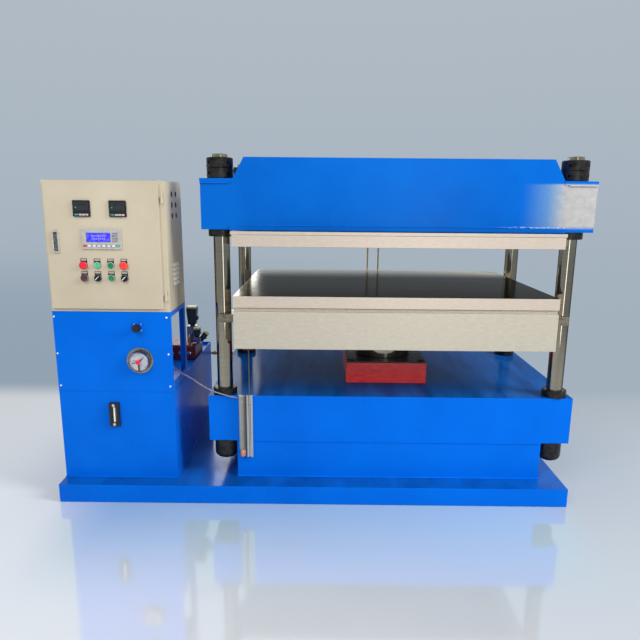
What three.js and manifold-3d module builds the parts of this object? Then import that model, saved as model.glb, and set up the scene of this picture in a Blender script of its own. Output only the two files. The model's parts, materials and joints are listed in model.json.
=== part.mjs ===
// Rubber vulcanizing press: a four-column heated platen press that stands on one base
// with its oil tank, hydraulic unit and control box.
// Lengths are in millimetres. +X runs to the right of the front, +Y to the back and +Z up.
// Places are counted from the press's own centre line on the floor, and the finished group is
// shifted once, so that the origin lies under the middle of the whole machine.
import * as THREE from 'three';
import { mergeVertices } from 'three/addons/utils/BufferGeometryUtils.js';
import Module from 'manifold-3d';

// Clearances shared by all pieces
const seatGap = 0.3;
const overrun = 2;
const runningGap = 1;

// Columns with their lower nuts and collars, and the round nuts on top
const columnHalfSpanX = 739;
const columnHalfSpanY = 359;
const columnRadius = 34;
const columnFreeLength = 729;
const studRadius = 33;
const studProjection = 15;
const studChamfer = 3;
const bedCollarRadius = 52;
const bedCollarHeight = 30;
const topCollarRadius = 54;
const topCollarHeight = 28;
const collarChamfer = 3;
const lowerNutRadius = 52;
const lowerNutHeight = 88;
const lowerNutRounding = 24;
const lowerNutRoundShare = 0.3;
const ringNutRadius = 55;
const ringNutHeight = 42;
const ringNutChamfer = 3;
const ringNutGroove = 2;
const tommyHoleRadius = 6;
const tommyHoleDepth = 12;
const tommyHoleAngles = [45, 135, 225, 315];

// Base tray
const unitGap = 145;
const baseMarginRight = 46;
const baseDepth = 1000;
const baseHeight = 84;
const deckThickness = 8;
const baseRailWidth = 46;
const baseRailWall = 6;

// Press table: skirt box below, bed above
const skirtInset = 54;
const skirtHeight = 175;
const skirtWall = 12;
const bedEndMargin = 69;
const bedSideMargin = 45;
const bedHeight = 212;
const bedPlateThickness = 36;
const bedPocketInner = 236;
const bedPocketInset = 99;
const bedWall = 20;

// Crosshead weldment
const crossheadEndMargin = 73;
const crossheadSideMargin = 61;
const crossheadEndHeight = 207;
const crossheadMidHeight = 292;
const crossheadTopInset = 107;
const shoulderInset = 61;
const plateProud = 2;
const endPlateThickness = 17;
const flangeInset = 43;
const flangeThickness = 18;
const flangeDrop = 3;
const flangeProud = 3;
const crossheadPocketInner = 16;
const pocketInset = 139;
const crossheadWall = 24;
const crossheadTopThickness = 28;

// Platens
const platenInset = 60;
const platenSideMargin = 121;
const spacerThickness = 14;
const spacerLip = 5;
const upperPlateThickness = 48;
const daylight = 204;
const lowerPlateThickness = 49;
const boardThickness = 16;
const boardInset = 5;
const bolsterHeight = 160;
const bolsterWall = 30;
const bolsterTopThickness = 50;
const bolsterPocketInner = 170;
const lugHeight = 36;
const lugDrop = 25;
const lugBeyond = 13;
const lugArm = 18;
const terminalWidth = 34;
const terminalDepth = 17;
const terminalHeight = 34;

// Ram and cylinder
const ramRadius = 130;
const ramBottomLift = 90;
const ramChamfer = 6;
const cylinderHalfWidth = 190;
const cylinderHalfDepth = 205;
const cylinderBlockHeight = 99;
const barrelRadius = 165;
const barrelReach = 351;
const boreReach = 326;
const glandInset = 1;
const glandThickness = 6;
const glandRingRadius = 142;
const glandRingHeight = 3;
const glandBoltRadius = 12;
const glandBoltHeight = 3;
const glandBoltInset = 28;

// Power unit: tank, lid, frame and front panel
const unitMargin = 4;
const unitWidth = 507;
const unitFront = 427;
const tankBack = 408;
const tankHeight = 406;
const tankWall = 5;
const lidThickness = 8;
const lidRimHeight = 15;
const lidRimWall = 5;
const frameDepth = 255;
const frameHeight = 351;
const frameWall = 4;
const frameLeg = 30;
const frameTopRail = 22;
const frameFootRail = 37;
const frameFrontLeg = 16;
const panelThickness = 3;
const panelScrewRadius = 4;
const panelScrewHeight = 2;
const panelScrewLeftInset = 9;
const panelScrewRightInset = 17;
const panelScrewTopInset = 24;
const panelScrewFootInset = 19;

// Motor, pump and their shaft
const motorInset = 200;
const motorAxisY = 20;
const motorRadius = 88;
const finDepth = 9;
const finCount = 14;
const finWidthShare = 0.42;
const finRootShare = 0.48;
const motorLength = 190;
const motorFlangeRadius = 100;
const motorFlangeThickness = 14;
const fanCoverRadius = 92;
const fanCoverHeight = 48;
const terminalBoxWidth = 92;
const terminalBoxReach = 46;
const terminalBoxHeight = 84;
const bellRadius = 62;
const bellWall = 9;
const bellHeight = 92;
const bellFlangeRadius = 84;
const bellFlangeThickness = 10;
const bellWindowWidth = 54;
const bellWindowHeight = 46;
const pumpNeckRadius = 40;
const pumpHalfWidth = 52;
const pumpHalfDepth = 44;
const pumpHeight = 104;
const pumpNeckLength = 26;
const shaftRadius = 14;
const shaftEntry = 26;
const couplingRadius = 36;
const couplingHeight = 48;

// Valve bank
const manifoldLeft = 212;
const manifoldRight = 12;
const manifoldFront = 60;
const manifoldBack = 240;
const manifoldHeight = 79;
const manifoldChamfer = 8;
const upperValveInset = 51;
const upperValveWidth = 52;
const upperValveDepth = 56;
const upperValveAxisY = 190;
const upperValveBodyHeight = 78;
const upperCoilWidth = 64;
const upperCoilHeight = 98;
const lowerValveInset = 7;
const lowerValveWidth = 36;
const lowerValveDepth = 52;
const lowerValveAxisY = 115;
const lowerValveBodyHeight = 34;
const lowerCoilWidth = 44;
const lowerCoilHeight = 34;
const tiltedCoilWidth = 38;
const tiltedCoilHeight = 38;
const coilTiltDegrees = 38;
const coilRounding = 8;
const coilGrow = 4;
const coilFootShare = 0.34;
const valveNeckRadius = 13;
const valveNeckHeight = 9;
const plugHeight = 14;
const plugInset = 5;

// Pipe from the valve bank round the back of the tank to the cylinder
const pipeRadius = 7;
const pipeSides = 8;
const pipeOverTank = 545;
const pipeBehind = 438;
const pipeRunHeight = 437;
const pipeEntryHeight = 522;
const pipeBend = 32;
const pipeExitInset = 96;
const portDepth = 14;

// Breather cap
const breatherInset = 70;
const breatherAxisY = 330;
const breatherRadius = 30;
const breatherHeight = 38;
const breatherNeckRadius = 15;
const breatherNeckLength = 16;
const breatherWallShare = 0.7;
const breatherCrownShare = 0.6;

// Regulating valve and knob on the front panel
const knobInset = 364;
const knobDrop = 67;
const knobRadius = 17;
const knobLength = 34;
const knobGripShare = 0.3;
const knobNeckShare = 0.8;
const knobFaceShare = 0.85;
const knobShaftRadius = 5;
const knobShaftLength = 22;
const knobPlateHalfWidth = 20;
const knobPlateHalfHeight = 20;
const knobPlateThickness = 4;
const regulatorHalfWidth = 26;
const regulatorLength = 74;
const regulatorNeckRadius = 15;

// Pressure gauge on the front panel
const gaugeInset = 365;
const gaugeDrop = 215;
const gaugeFlangeRadius = 58;
const gaugeFlangeThickness = 3;
const bezelRadius = 46;
const bezelHeight = 24;
const bezelWall = 4;
const dialDepth = 12;
const gaugeCaseRadius = 44;
const gaugeCaseDepth = 46;
const glassThickness = 2;
const glassInset = 2;
const pointerLength = 32;
const pointerTail = 10;
const pointerWidth = 3;
const pointerRestDegrees = -108;
const pointerThickness = 1;
const pointerHubRadius = 4;
const pointerLift = 4;
const pointerPinRadius = 1.5;
const pointerPinLength = 6;
const setKnobRadius = 9;
const setKnobLength = 14;
const setKnobPinRadius = 2;

// Level gauge on the tank
const levelInset = 219;
const levelWidth = 44;
const levelLength = 109;
const levelThickness = 13;
const levelTop = 47;
const levelSlotWidth = 16;
const levelSlotLength = 70;
const levelSlotDepth = 9;
const levelTubeRadius = 4;
const levelBoltRadius = 7;
const levelBoltHeight = 5;

// Control box
const boxHeight = 544;
const boxDepth = 255;
const boxWall = 2;
const rimHingeSide = 36;
const rimWidth = 24;
const doorMargin = 10;
const doorHingeMargin = 26;
const doorTopMargin = 12;
const doorFootMargin = 14;
const doorDepth = 10;
const doorGap = 0.5;
const doorWall = 2;
const ventRadius = 12.5;
const ventRows = 3;
const ventColumns = 2;
const ventPitchZ = 45;
const ventPitchY = 66;
const ventTopDrop = 52;
const ventFrontInset = 96;
const louvreCount = 5;
const louvreLength = 88;
const louvreHeight = 9;
const louvrePitch = 20;
const louvreTopDrop = 350;
const louvreFrontInset = 73;
const louvreReach = 5;
const hingeRadius = 5.5;
const hingeOffset = 15;
const hingeLength = 46;
const hingeTopDrop = 45;
const hingeFootLift = 47;
const hingePinRadius = 3;
const hingePinGap = 0.2;
const hingeLeafThickness = 3;
const hingeBlind = 4;

// Lock housing and its lever
const lockInset = 39;
const lockFootLift = 250;
const lockWidth = 28;
const lockHeight = 90;
const lockProud = 7;
const lockRecessWidth = 16;
const lockRecessHeight = 78;
const lockRecessDepth = 6.5;
const leverWidth = 14;
const leverLength = 70;
const leverThickness = 5;
const leverPinRadius = 1.8;
const leverPinReach = 3;
const leverFootGap = 2;

// Instruments on the door
const controllerWidth = 70;
const controllerHeight = 66;
const controllerProud = 7;
const controllerBodyInset = 3;
const controllerDepth = 78;
const cutoutGap = 1;
const firstControllerInset = 165;
const controllerPitch = 148;
const controllerDrop = 113;
const displayWidth = 166;
const displayHeight = 88;
const displayProud = 6;
const displayRounding = 8;
const displayBodyInset = 8;
const displayDepth = 34;
const displayInset = 240;
const displayDrop = 236;

// Push buttons and switches on the door
const buttonRows = 2;
const buttonColumns = 4;
const firstButtonInset = 157;
const buttonPitch = 56;
const upperRowDrop = 346;
const rowPitch = 53;
const buttonRadius = 11;
const buttonGap = 0.5;
const buttonRingRadius = 15;
const buttonRingHeight = 4;
const buttonTravel = 4;
const buttonProud = 5;
const buttonStop = 1.5;
const buttonStopRadius = 13;
const stopButtonRadius = 17;
const emergencyButtonRadius = 20;
const mushroomThickness = 9;
const lampRadius = 14;
const lampProud = 12;
const selectorProud = 8;
const selectorBarWidth = 7;
const selectorBarHeight = 9;
const selectorRestDegrees = 45;
const buttonRounding = 2;

// Equipment plate inside the control box
const equipmentInset = 34;
const equipmentThickness = 3;
const equipmentStandoff = 12;
const standoffRadius = 6;
const contactorWidth = 58;
const contactorHeight = 82;
const contactorDepth = 84;
const contactorCount = 3;
const contactorPitch = 84;
const contactorDrop = 120;
const terminalStripHeight = 44;
const terminalStripDepth = 42;
const terminalStripLift = 70;
const breakerWidth = 76;
const breakerHeight = 90;
const breakerDepth = 66;

// Limit switch rail, its rod and bracket
const railInset = 135;
const railWidth = 33;
const railLength = 250;
const railProud = 3;
const railDepth = 26;
const railWall = 4;
const railGap = 2;
const barWidth = 26;
const barLength = 290;
const barThickness = 12;
const barSlotWidth = 10;
const barSlotDepth = 8;
const railGlandRadius = 12;
const railGlandHeight = 28;
const railBackThickness = 3;
const rodRadius = 3;
const rodEngagement = 212;
const bracketWidth = 48;
const bracketDepth = 34;
const bracketHeight = 18;

// Cables
const switchCableRadius = 3;
const switchCableSides = 8;
const switchCableSteps = 22;
const switchCableDrop = 10;
const switchGlandRadius = 9;
const switchGlandLength = 20;
const switchGlandInset = 47;
const switchGlandReach = 127;
// Places along the signal cable, as shares of its way across, forwards and down from gland to rail
const switchCableShares = [
  [0, 0, 0.108],
  [-0.003, 0.056, 0.352],
  [0.009, 0.167, 0.564],
  [0.068, 0.296, 0.677],
  [0.16, 0.398, 0.737],
  [0.316, 0.583, 0.786],
  [0.467, 0.833, 0.845],
  [0.642, 1.06, 0.905],
  [0.795, 1.1, 0.945],
  [0.91, 1.05, 0.98],
];
const heaterCableRadius = 5;
const heaterCableSides = 8;
const heaterCableOffsets = [-48, 13];
const heaterCableBend = 45;
const heaterGlandHeight = 74;
const heaterLoopDrop = 118;
const glandRadius = 11;
const glandReach = 15;

// Facet counts
const fineSides = 16;
const roundSides = 16;
const smallSides = 10;
const tinySides = 8;
const boltSides = 6;
const curveSteps = 3;
const bendSteps = 3;

// Widths and depths that follow the columns, and the unit's place beside the bed
const bedHalfWidth = columnHalfSpanX + bedEndMargin;
const bedHalfDepth = columnHalfSpanY + bedSideMargin;
const bedPocketOuter = columnHalfSpanX - bedPocketInset;
const skirtHalfWidth = columnHalfSpanX - skirtInset;
const skirtHalfDepth = bedHalfDepth;
const crossheadHalfWidth = columnHalfSpanX + crossheadEndMargin;
const crossheadHalfDepth = columnHalfSpanY + crossheadSideMargin;
const crossheadTopHalfWidth = columnHalfSpanX - crossheadTopInset;
const crossheadShoulderHalfWidth = columnHalfSpanX - shoulderInset;
const crossheadPocketOuter = columnHalfSpanX - pocketInset;
const flangeHalfWidth = columnHalfSpanX - flangeInset;
const platenHalfWidth = columnHalfSpanX - platenInset;
const platenHalfDepth = columnHalfSpanY + platenSideMargin;
const bolsterPocketOuter = columnHalfSpanX - pocketInset;
const baseReachRight = columnHalfSpanX + baseMarginRight;
const baseReachLeft = bedHalfWidth + unitGap + unitWidth + unitMargin;

// Heights that stack up from the floor
const skirtBottom = baseHeight + seatGap;
const bedBottom = baseHeight + skirtHeight;
const bedTop = bedBottom + bedHeight;
const crossheadBottom = bedTop + columnFreeLength;
const crossheadEndTop = crossheadBottom + crossheadEndHeight;
const crossheadMidTop = crossheadBottom + crossheadMidHeight;
const flangeBottom = crossheadBottom - flangeDrop;
const spacerTop = flangeBottom - seatGap;
const spacerBottom = spacerTop - spacerThickness;
const upperPlateTop = spacerBottom - seatGap;
const upperPlateBottom = upperPlateTop - upperPlateThickness;
const lowerPlateTop = upperPlateBottom - daylight;
const lowerPlateBottom = lowerPlateTop - lowerPlateThickness;
const boardTop = lowerPlateBottom - seatGap;
const boardBottom = boardTop - boardThickness;
const bolsterTop = boardBottom - seatGap;
const bolsterBottom = bolsterTop - bolsterHeight;
const nutBottom = crossheadEndTop + seatGap;
const studTop = nutBottom + ringNutHeight + ringNutHeight + studProjection;
const lowerNutTop = bedBottom - seatGap;
const lowerNutBottom = lowerNutTop - lowerNutHeight;
const cylinderBlockBottom = bedTop + seatGap;
const cylinderBlockTop = cylinderBlockBottom + cylinderBlockHeight;
const barrelBottom = bedTop - barrelReach;
const boreBottom = bedTop - boreReach;
const glandBottom = cylinderBlockTop + seatGap;
const ramBottom = boreBottom + ramBottomLift;

// Places of the power unit and the control box
const unitLeft = -baseReachLeft + unitMargin;
const unitRight = unitLeft + unitWidth;
const tankBottom = baseHeight + seatGap;
const tankTop = tankBottom + tankHeight;
const lidBottom = tankTop + seatGap;
const lidTop = lidBottom + lidThickness;
const frameBottom = lidTop + seatGap;
const frameTop = frameBottom + frameHeight;
const frameBack = -unitFront + frameDepth;
const frameFront = -unitFront + panelThickness + seatGap;
const boxBottom = frameTop + seatGap;
const boxTop = boxBottom + boxHeight;
const boxBack = -unitFront + boxDepth;
const doorLeft = unitLeft + doorMargin;
const doorRight = unitRight - doorHingeMargin;
const doorBottom = boxBottom + doorFootMargin;
const doorTop = boxTop - doorTopMargin;
const doorBackFace = -unitFront - doorGap;
const doorFace = doorBackFace - doorDepth;
const motorAxisX = unitLeft + motorInset;
const bellBottom = lidTop + seatGap;
const bellTop = bellBottom + bellHeight;
const motorBottom = bellTop + seatGap;

// The centre of the whole machine lies to the left of the press's own centre
const reachRight = Math.max(baseReachRight, crossheadHalfWidth + plateProud);
const centreShift = (baseReachLeft - reachRight) / 2;

const wasm = await Module();
wasm.setup();

const press = new THREE.Group();
press.position.x = centreShift;

// Colours, roughness and metalness as seen on the machine
const finishes = {
  bluePaint: { color: 0x0b63dc, roughness: 0.35, metalness: 0 },
  beigePaint: { color: 0xc9bda6, roughness: 0.5, metalness: 0 },
  redPaint: { color: 0xc4252b, roughness: 0.45, metalness: 0 },
  darkRed: { color: 0x5c1518, roughness: 0.5, metalness: 0 },
  chrome: { color: 0xd2d2d0, roughness: 0.12, metalness: 1 },
  groundSteel: { color: 0xb9b1a8, roughness: 0.3, metalness: 1 },
  blackOxide: { color: 0x26272a, roughness: 0.35, metalness: 0.8 },
  blackPlastic: { color: 0x1b1c1e, roughness: 0.45, metalness: 0 },
  greyPlastic: { color: 0x8b8c88, roughness: 0.5, metalness: 0 },
  greyAlloy: { color: 0xb4b2ac, roughness: 0.4, metalness: 0.7 },
  motorPaint: { color: 0x202326, roughness: 0.55, metalness: 0 },
  castIron: { color: 0x3d3f42, roughness: 0.6, metalness: 0.4 },
  zincYellow: { color: 0xb58b3c, roughness: 0.35, metalness: 0.8 },
  board: { color: 0x8d8779, roughness: 0.8, metalness: 0 },
  redPlastic: { color: 0xd8232f, roughness: 0.35, metalness: 0 },
  greenPlastic: { color: 0x1f9a58, roughness: 0.35, metalness: 0 },
  lampRed: { color: 0x4a1a1c, roughness: 0.3, metalness: 0 },
  clearGlass: { color: 0xdfe6e8, roughness: 0.05, metalness: 0 },
  cableGrey: { color: 0x8f8d8c, roughness: 0.6, metalness: 0 },
};

function addPiece(name, solid, finish) {
  const mesh = new THREE.Mesh(toGeometry(solid), new THREE.MeshStandardMaterial(finishes[finish]));
  mesh.name = name;
  press.add(mesh);
}

// A closed three.js geometry becomes a solid that can be joined and cut
function toSolid(geometry) {
  const plain = geometry.clone();
  plain.deleteAttribute('normal');
  plain.deleteAttribute('uv');
  const merged = mergeVertices(plain);
  return new wasm.Manifold(new wasm.Mesh({
    numProp: 3,
    vertProperties: new Float32Array(merged.attributes.position.array),
    triVerts: new Uint32Array(merged.index.array),
  }));
}

function toGeometry(solid) {
  const mesh = solid.getMesh();
  const geometry = new THREE.BufferGeometry();
  geometry.setAttribute('position', new THREE.BufferAttribute(new Float32Array(mesh.vertProperties), 3));
  geometry.setIndex(new THREE.BufferAttribute(new Uint32Array(mesh.triVerts), 1));
  geometry.computeVertexNormals();
  return geometry;
}

function join(...solids) {
  return solids.reduce((sum, solid) => sum.add(solid));
}

function cut(body, ...tools) {
  return tools.reduce((rest, tool) => rest.subtract(tool), body);
}

function block(left, right, front, back, bottom, top) {
  const geometry = new THREE.BoxGeometry(right - left, back - front, top - bottom);
  geometry.translate((left + right) / 2, (front + back) / 2, (bottom + top) / 2);
  return toSolid(geometry);
}

// An upright cylinder
function post(radius, x, y, bottom, top, sides) {
  const geometry = new THREE.CylinderGeometry(radius, radius, top - bottom, sides);
  geometry.rotateX(Math.PI / 2);
  geometry.translate(x, y, (bottom + top) / 2);
  return toSolid(geometry);
}

// A cylinder that runs from front to back
function spigot(radius, x, z, front, back, sides) {
  const geometry = new THREE.CylinderGeometry(radius, radius, back - front, sides);
  geometry.translate(x, (front + back) / 2, z);
  return toSolid(geometry);
}

// A cylinder that runs from left to right
function axle(radius, y, z, left, right, sides) {
  const geometry = new THREE.CylinderGeometry(radius, radius, right - left, sides);
  geometry.rotateZ(Math.PI / 2);
  geometry.translate((left + right) / 2, y, z);
  return toSolid(geometry);
}

// A turned piece about an upright axis: each profile point is a radius and a height
function turned(profile, x, y, sides) {
  const points = profile.map(([radius, height]) => new THREE.Vector2(radius, height));
  const geometry = new THREE.LatheGeometry(points, sides);
  geometry.rotateX(Math.PI / 2);
  geometry.translate(x, y, 0);
  return outward(toSolid(geometry), geometry);
}

// A turned piece about an axis that points out of the front: heights count towards the viewer
function turnedForward(profile, x, z, face, sides) {
  const points = profile.map(([radius, height]) => new THREE.Vector2(radius, height));
  const geometry = new THREE.LatheGeometry(points, sides);
  geometry.rotateX(Math.PI);
  geometry.translate(x, face, z);
  return outward(toSolid(geometry), geometry);
}

// A profile that runs the other way round gives an inside-out body, so it is turned about
function outward(solid, geometry) {
  if (solid.volume() > 0) return solid;
  const flipped = geometry.clone();
  const order = flipped.index.array;
  for (let i = 0; i < order.length; i += 3) [order[i], order[i + 1]] = [order[i + 1], order[i]];
  return toSolid(flipped);
}

function outline(points) {
  return new THREE.Shape(points.map(([across, up]) => new THREE.Vector2(across, up)));
}

// An outline in width and height, run from front to back
function extrudedBack(shape, front, back) {
  const geometry = new THREE.ExtrudeGeometry(
    shape, { depth: back - front, bevelEnabled: false, curveSegments: curveSteps },
  );
  geometry.rotateX(Math.PI / 2);
  geometry.translate(0, back, 0);
  return toSolid(geometry);
}

// An outline in plan, run upwards
function extrudedUp(shape, bottom, top) {
  const geometry = new THREE.ExtrudeGeometry(
    shape, { depth: top - bottom, bevelEnabled: false, curveSegments: curveSteps },
  );
  geometry.translate(0, 0, bottom);
  return toSolid(geometry);
}

// An outline in depth and height, run from left to right
function extrudedRight(shape, left, right) {
  const geometry = new THREE.ExtrudeGeometry(
    shape, { depth: right - left, bevelEnabled: false, curveSegments: curveSteps },
  );
  geometry.rotateX(Math.PI / 2);
  geometry.rotateZ(Math.PI / 2);
  geometry.translate(left, 0, 0);
  return toSolid(geometry);
}

function roundedOutline(left, right, low, high, radius) {
  const shape = new THREE.Shape();
  shape.moveTo(left + radius, low);
  shape.lineTo(right - radius, low);
  shape.absarc(right - radius, low + radius, radius, -Math.PI / 2, 0);
  shape.lineTo(right, high - radius);
  shape.absarc(right - radius, high - radius, radius, 0, Math.PI / 2);
  shape.lineTo(left + radius, high);
  shape.absarc(left + radius, high - radius, radius, Math.PI / 2, Math.PI);
  shape.lineTo(left, low + radius);
  shape.absarc(left + radius, low + radius, radius, Math.PI, Math.PI * 1.5);
  return shape;
}

function ring(radius, sides) {
  const shape = new THREE.Shape();
  shape.moveTo(radius, 0);
  for (let i = 1; i < sides; i += 1) {
    const angle = (i / sides) * Math.PI * 2;
    shape.lineTo(radius * Math.cos(angle), radius * Math.sin(angle));
  }
  return shape;
}

// A route through chosen points, with one step of the tube between each two
class PointRoute extends THREE.Curve {
  constructor(points) {
    super();
    this.points = points;
  }

  getPoint(t, target = new THREE.Vector3()) {
    const place = t * (this.points.length - 1);
    const index = Math.min(Math.floor(place), this.points.length - 2);
    return target.lerpVectors(this.points[index], this.points[index + 1], place - index);
  }

  getUtoTmapping(u) {
    return u;
  }
}

// Straight runs between square corners, with a round bend at each; two bends may meet in one point
function bentRoute(corners, bend) {
  const points = [corners[0]];
  for (let i = 1; i < corners.length - 1; i += 1) {
    const ahead = corners[i].clone().sub(corners[i - 1]).normalize();
    const aside = corners[i + 1].clone().sub(corners[i]).normalize();
    const start = corners[i].clone().addScaledVector(ahead, -bend);
    for (let step = 0; step <= bendSteps; step += 1) {
      const turn = ((step / bendSteps) * Math.PI) / 2;
      const point = start.clone().addScaledVector(ahead, bend * Math.sin(turn));
      point.addScaledVector(aside, bend * (1 - Math.cos(turn)));
      if (point.distanceTo(points.at(-1)) > seatGap) points.push(point);
    }
  }
  points.push(corners.at(-1));
  return new PointRoute(points);
}

// A smooth route through points chosen by hand
function looseRoute(points, steps) {
  return new PointRoute(new THREE.CatmullRomCurve3(points, false, 'centripetal').getSpacedPoints(steps));
}

// A tube or cable along a route
function tube(route, radius, sides) {
  const steps = route.points.length - 1;
  const geometry = new THREE.ExtrudeGeometry(
    ring(radius, sides), { extrudePath: route, steps, bevelEnabled: false },
  );
  const merged = geometry.clone();
  merged.deleteAttribute('normal');
  merged.deleteAttribute('uv');
  return outward(toSolid(geometry), mergeVertices(merged));
}

// A hole with flat sides that stays clear of a round thing when that turns in it
function turningHole(radius, gap, sides) {
  return (radius + gap) / Math.cos(Math.PI / sides);
}

function columnPlaces() {
  return [
    ['front_left', -columnHalfSpanX, -columnHalfSpanY],
    ['front_right', columnHalfSpanX, -columnHalfSpanY],
    ['rear_left', -columnHalfSpanX, columnHalfSpanY],
    ['rear_right', columnHalfSpanX, columnHalfSpanY],
  ];
}

function drillColumns(body, bottom, top) {
  const radius = columnRadius + seatGap + seatGap;
  return columnPlaces().reduce(
    (rest, [, x, y]) => rest.subtract(post(radius, x, y, bottom - overrun, top + overrun, fineSides)),
    body,
  );
}

// Welded base: a deck plate on rails that return inwards at the foot
function makeBase() {
  const half = baseDepth / 2;
  const tray = block(-baseReachLeft, baseReachRight, -half, half, 0, baseHeight);
  const room = block(
    -baseReachLeft + baseRailWidth,
    baseReachRight - baseRailWidth,
    -half + baseRailWidth,
    half - baseRailWidth,
    -overrun,
    baseHeight - deckThickness,
  );
  const web = block(
    -baseReachLeft + baseRailWall,
    baseReachRight - baseRailWall,
    -half + baseRailWall,
    half - baseRailWall,
    baseRailWall,
    baseHeight - deckThickness,
  );
  addPiece('base_tray', cut(tray, room, web), 'bluePaint');
}

function makeTable() {
  const skirt = block(
    -skirtHalfWidth, skirtHalfWidth, -skirtHalfDepth, skirtHalfDepth, skirtBottom, bedBottom - seatGap,
  );
  const inside = block(
    -skirtHalfWidth + skirtWall,
    skirtHalfWidth - skirtWall,
    -skirtHalfDepth + skirtWall,
    skirtHalfDepth - skirtWall,
    skirtBottom - overrun,
    bedBottom + overrun,
  );
  addPiece('table_skirt', cut(skirt, inside), 'bluePaint');

  const body = block(-bedHalfWidth, bedHalfWidth, -bedHalfDepth, bedHalfDepth, bedBottom, bedTop);
  const pockets = [-1, 1].map((side) => block(
    Math.min(side * bedPocketInner, side * bedPocketOuter),
    Math.max(side * bedPocketInner, side * bedPocketOuter),
    -bedHalfDepth + bedWall,
    bedHalfDepth - bedWall,
    bedBottom - overrun,
    bedTop - bedPlateThickness,
  ));
  const barrelHole = post(
    barrelRadius + seatGap + seatGap, 0, 0, bedBottom - overrun, bedTop + overrun, fineSides,
  );
  addPiece('press_bed', drillColumns(cut(body, ...pockets, barrelHole), bedBottom, bedTop), 'bluePaint');
}

// Column turned with its bed collar, top collar and the round lower nut
function makeColumns() {
  const profile = [
    [0, lowerNutBottom],
    [lowerNutRadius - lowerNutRounding, lowerNutBottom],
    [
      lowerNutRadius - lowerNutRounding * lowerNutRoundShare,
      lowerNutBottom + lowerNutRounding * lowerNutRoundShare,
    ],
    [lowerNutRadius, lowerNutBottom + lowerNutRounding],
    [lowerNutRadius, lowerNutTop],
    [columnRadius, lowerNutTop],
    [columnRadius, bedTop + seatGap],
    [bedCollarRadius, bedTop + seatGap],
    [bedCollarRadius, bedTop + bedCollarHeight - collarChamfer],
    [bedCollarRadius - collarChamfer, bedTop + bedCollarHeight],
    [columnRadius, bedTop + bedCollarHeight],
    [columnRadius, crossheadBottom - topCollarHeight],
    [topCollarRadius - collarChamfer, crossheadBottom - topCollarHeight],
    [topCollarRadius, crossheadBottom - topCollarHeight + collarChamfer],
    [topCollarRadius, crossheadBottom - seatGap],
    [columnRadius, crossheadBottom - seatGap],
    [columnRadius, crossheadEndTop - seatGap],
    [studRadius, crossheadEndTop - seatGap],
    [studRadius, studTop - studChamfer],
    [studRadius - studChamfer, studTop],
    [0, studTop],
  ];
  for (const [place, x, y] of columnPlaces()) {
    addPiece(`column_${place}`, turned(profile, x, y, fineSides), 'chrome');
    addPiece(`ring_nuts_${place}`, makeRingNuts(x, y), 'blackOxide');
  }
}

// Main nut and lock nut on one stud, with a groove where they meet and holes for a tommy bar
function makeRingNuts(x, y) {
  const bore = studRadius + seatGap;
  const middle = nutBottom + ringNutHeight;
  const top = middle + ringNutHeight;
  const nuts = turned([
    [bore, nutBottom],
    [ringNutRadius, nutBottom],
    [ringNutRadius, middle - ringNutGroove],
    [ringNutRadius - ringNutGroove, middle],
    [ringNutRadius, middle + ringNutGroove],
    [ringNutRadius, top - ringNutChamfer],
    [ringNutRadius - ringNutChamfer, top],
    [bore, top],
    [bore, nutBottom],
  ], x, y, fineSides);
  const holes = [];
  for (const level of [nutBottom + ringNutHeight / 2, middle + ringNutHeight / 2]) {
    const hole = axle(
      tommyHoleRadius, 0, level, ringNutRadius - tommyHoleDepth, ringNutRadius + overrun, boltSides,
    );
    for (const degrees of tommyHoleAngles) holes.push(hole.rotate([0, 0, degrees]).translate([x, y, 0]));
  }
  return cut(nuts, ...holes);
}

// Crosshead: stepped ends, sloping shoulders, end plates that stand proud and a bottom flange
function makeCrosshead() {
  const shape = outline([
    [-crossheadHalfWidth, crossheadBottom],
    [crossheadHalfWidth, crossheadBottom],
    [crossheadHalfWidth, crossheadEndTop],
    [crossheadShoulderHalfWidth, crossheadEndTop],
    [crossheadTopHalfWidth, crossheadMidTop],
    [-crossheadTopHalfWidth, crossheadMidTop],
    [-crossheadShoulderHalfWidth, crossheadEndTop],
    [-crossheadHalfWidth, crossheadEndTop],
  ]);
  const girder = extrudedBack(shape, -crossheadHalfDepth, crossheadHalfDepth);
  const endPlates = [-1, 1].map((side) => {
    const inner = side * crossheadShoulderHalfWidth;
    const outer = side * (crossheadHalfWidth + plateProud);
    return block(
      Math.min(inner, outer),
      Math.max(inner, outer),
      -crossheadHalfDepth - plateProud,
      crossheadHalfDepth + plateProud,
      crossheadEndTop - endPlateThickness,
      crossheadEndTop,
    );
  });
  const flange = block(
    -flangeHalfWidth,
    flangeHalfWidth,
    -crossheadHalfDepth - flangeProud,
    crossheadHalfDepth + flangeProud,
    flangeBottom,
    flangeBottom + flangeThickness,
  );
  const pockets = [-1, 1].map((side) => block(
    Math.min(side * crossheadPocketInner, side * crossheadPocketOuter),
    Math.max(side * crossheadPocketInner, side * crossheadPocketOuter),
    -crossheadHalfDepth + crossheadWall,
    crossheadHalfDepth - crossheadWall,
    flangeBottom - overrun,
    crossheadMidTop - crossheadTopThickness,
  ));
  const glandLevel = crossheadBottom + heaterGlandHeight;
  const glands = heaterCableOffsets.map((x) => spigot(
    glandRadius, x, glandLevel, crossheadHalfDepth - overrun, crossheadHalfDepth + glandReach, tinySides,
  ));
  const weldment = join(cut(join(girder, ...endPlates, flange), ...pockets), ...glands);
  // Column holes break out at the flange's ends, so all is drilled in one go
  const holes = weldment.subtract(collarRelief());
  addPiece('crosshead', drillColumns(holes, flangeBottom, crossheadEndTop), 'bluePaint');
}

// The flange stops short of the collars under the crosshead
function collarRelief() {
  return join(...columnPlaces().map(([, x, y]) => post(
    topCollarRadius + seatGap + seatGap, x, y, flangeBottom - overrun,
    crossheadBottom - seatGap / 2, fineSides,
  )));
}

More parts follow.
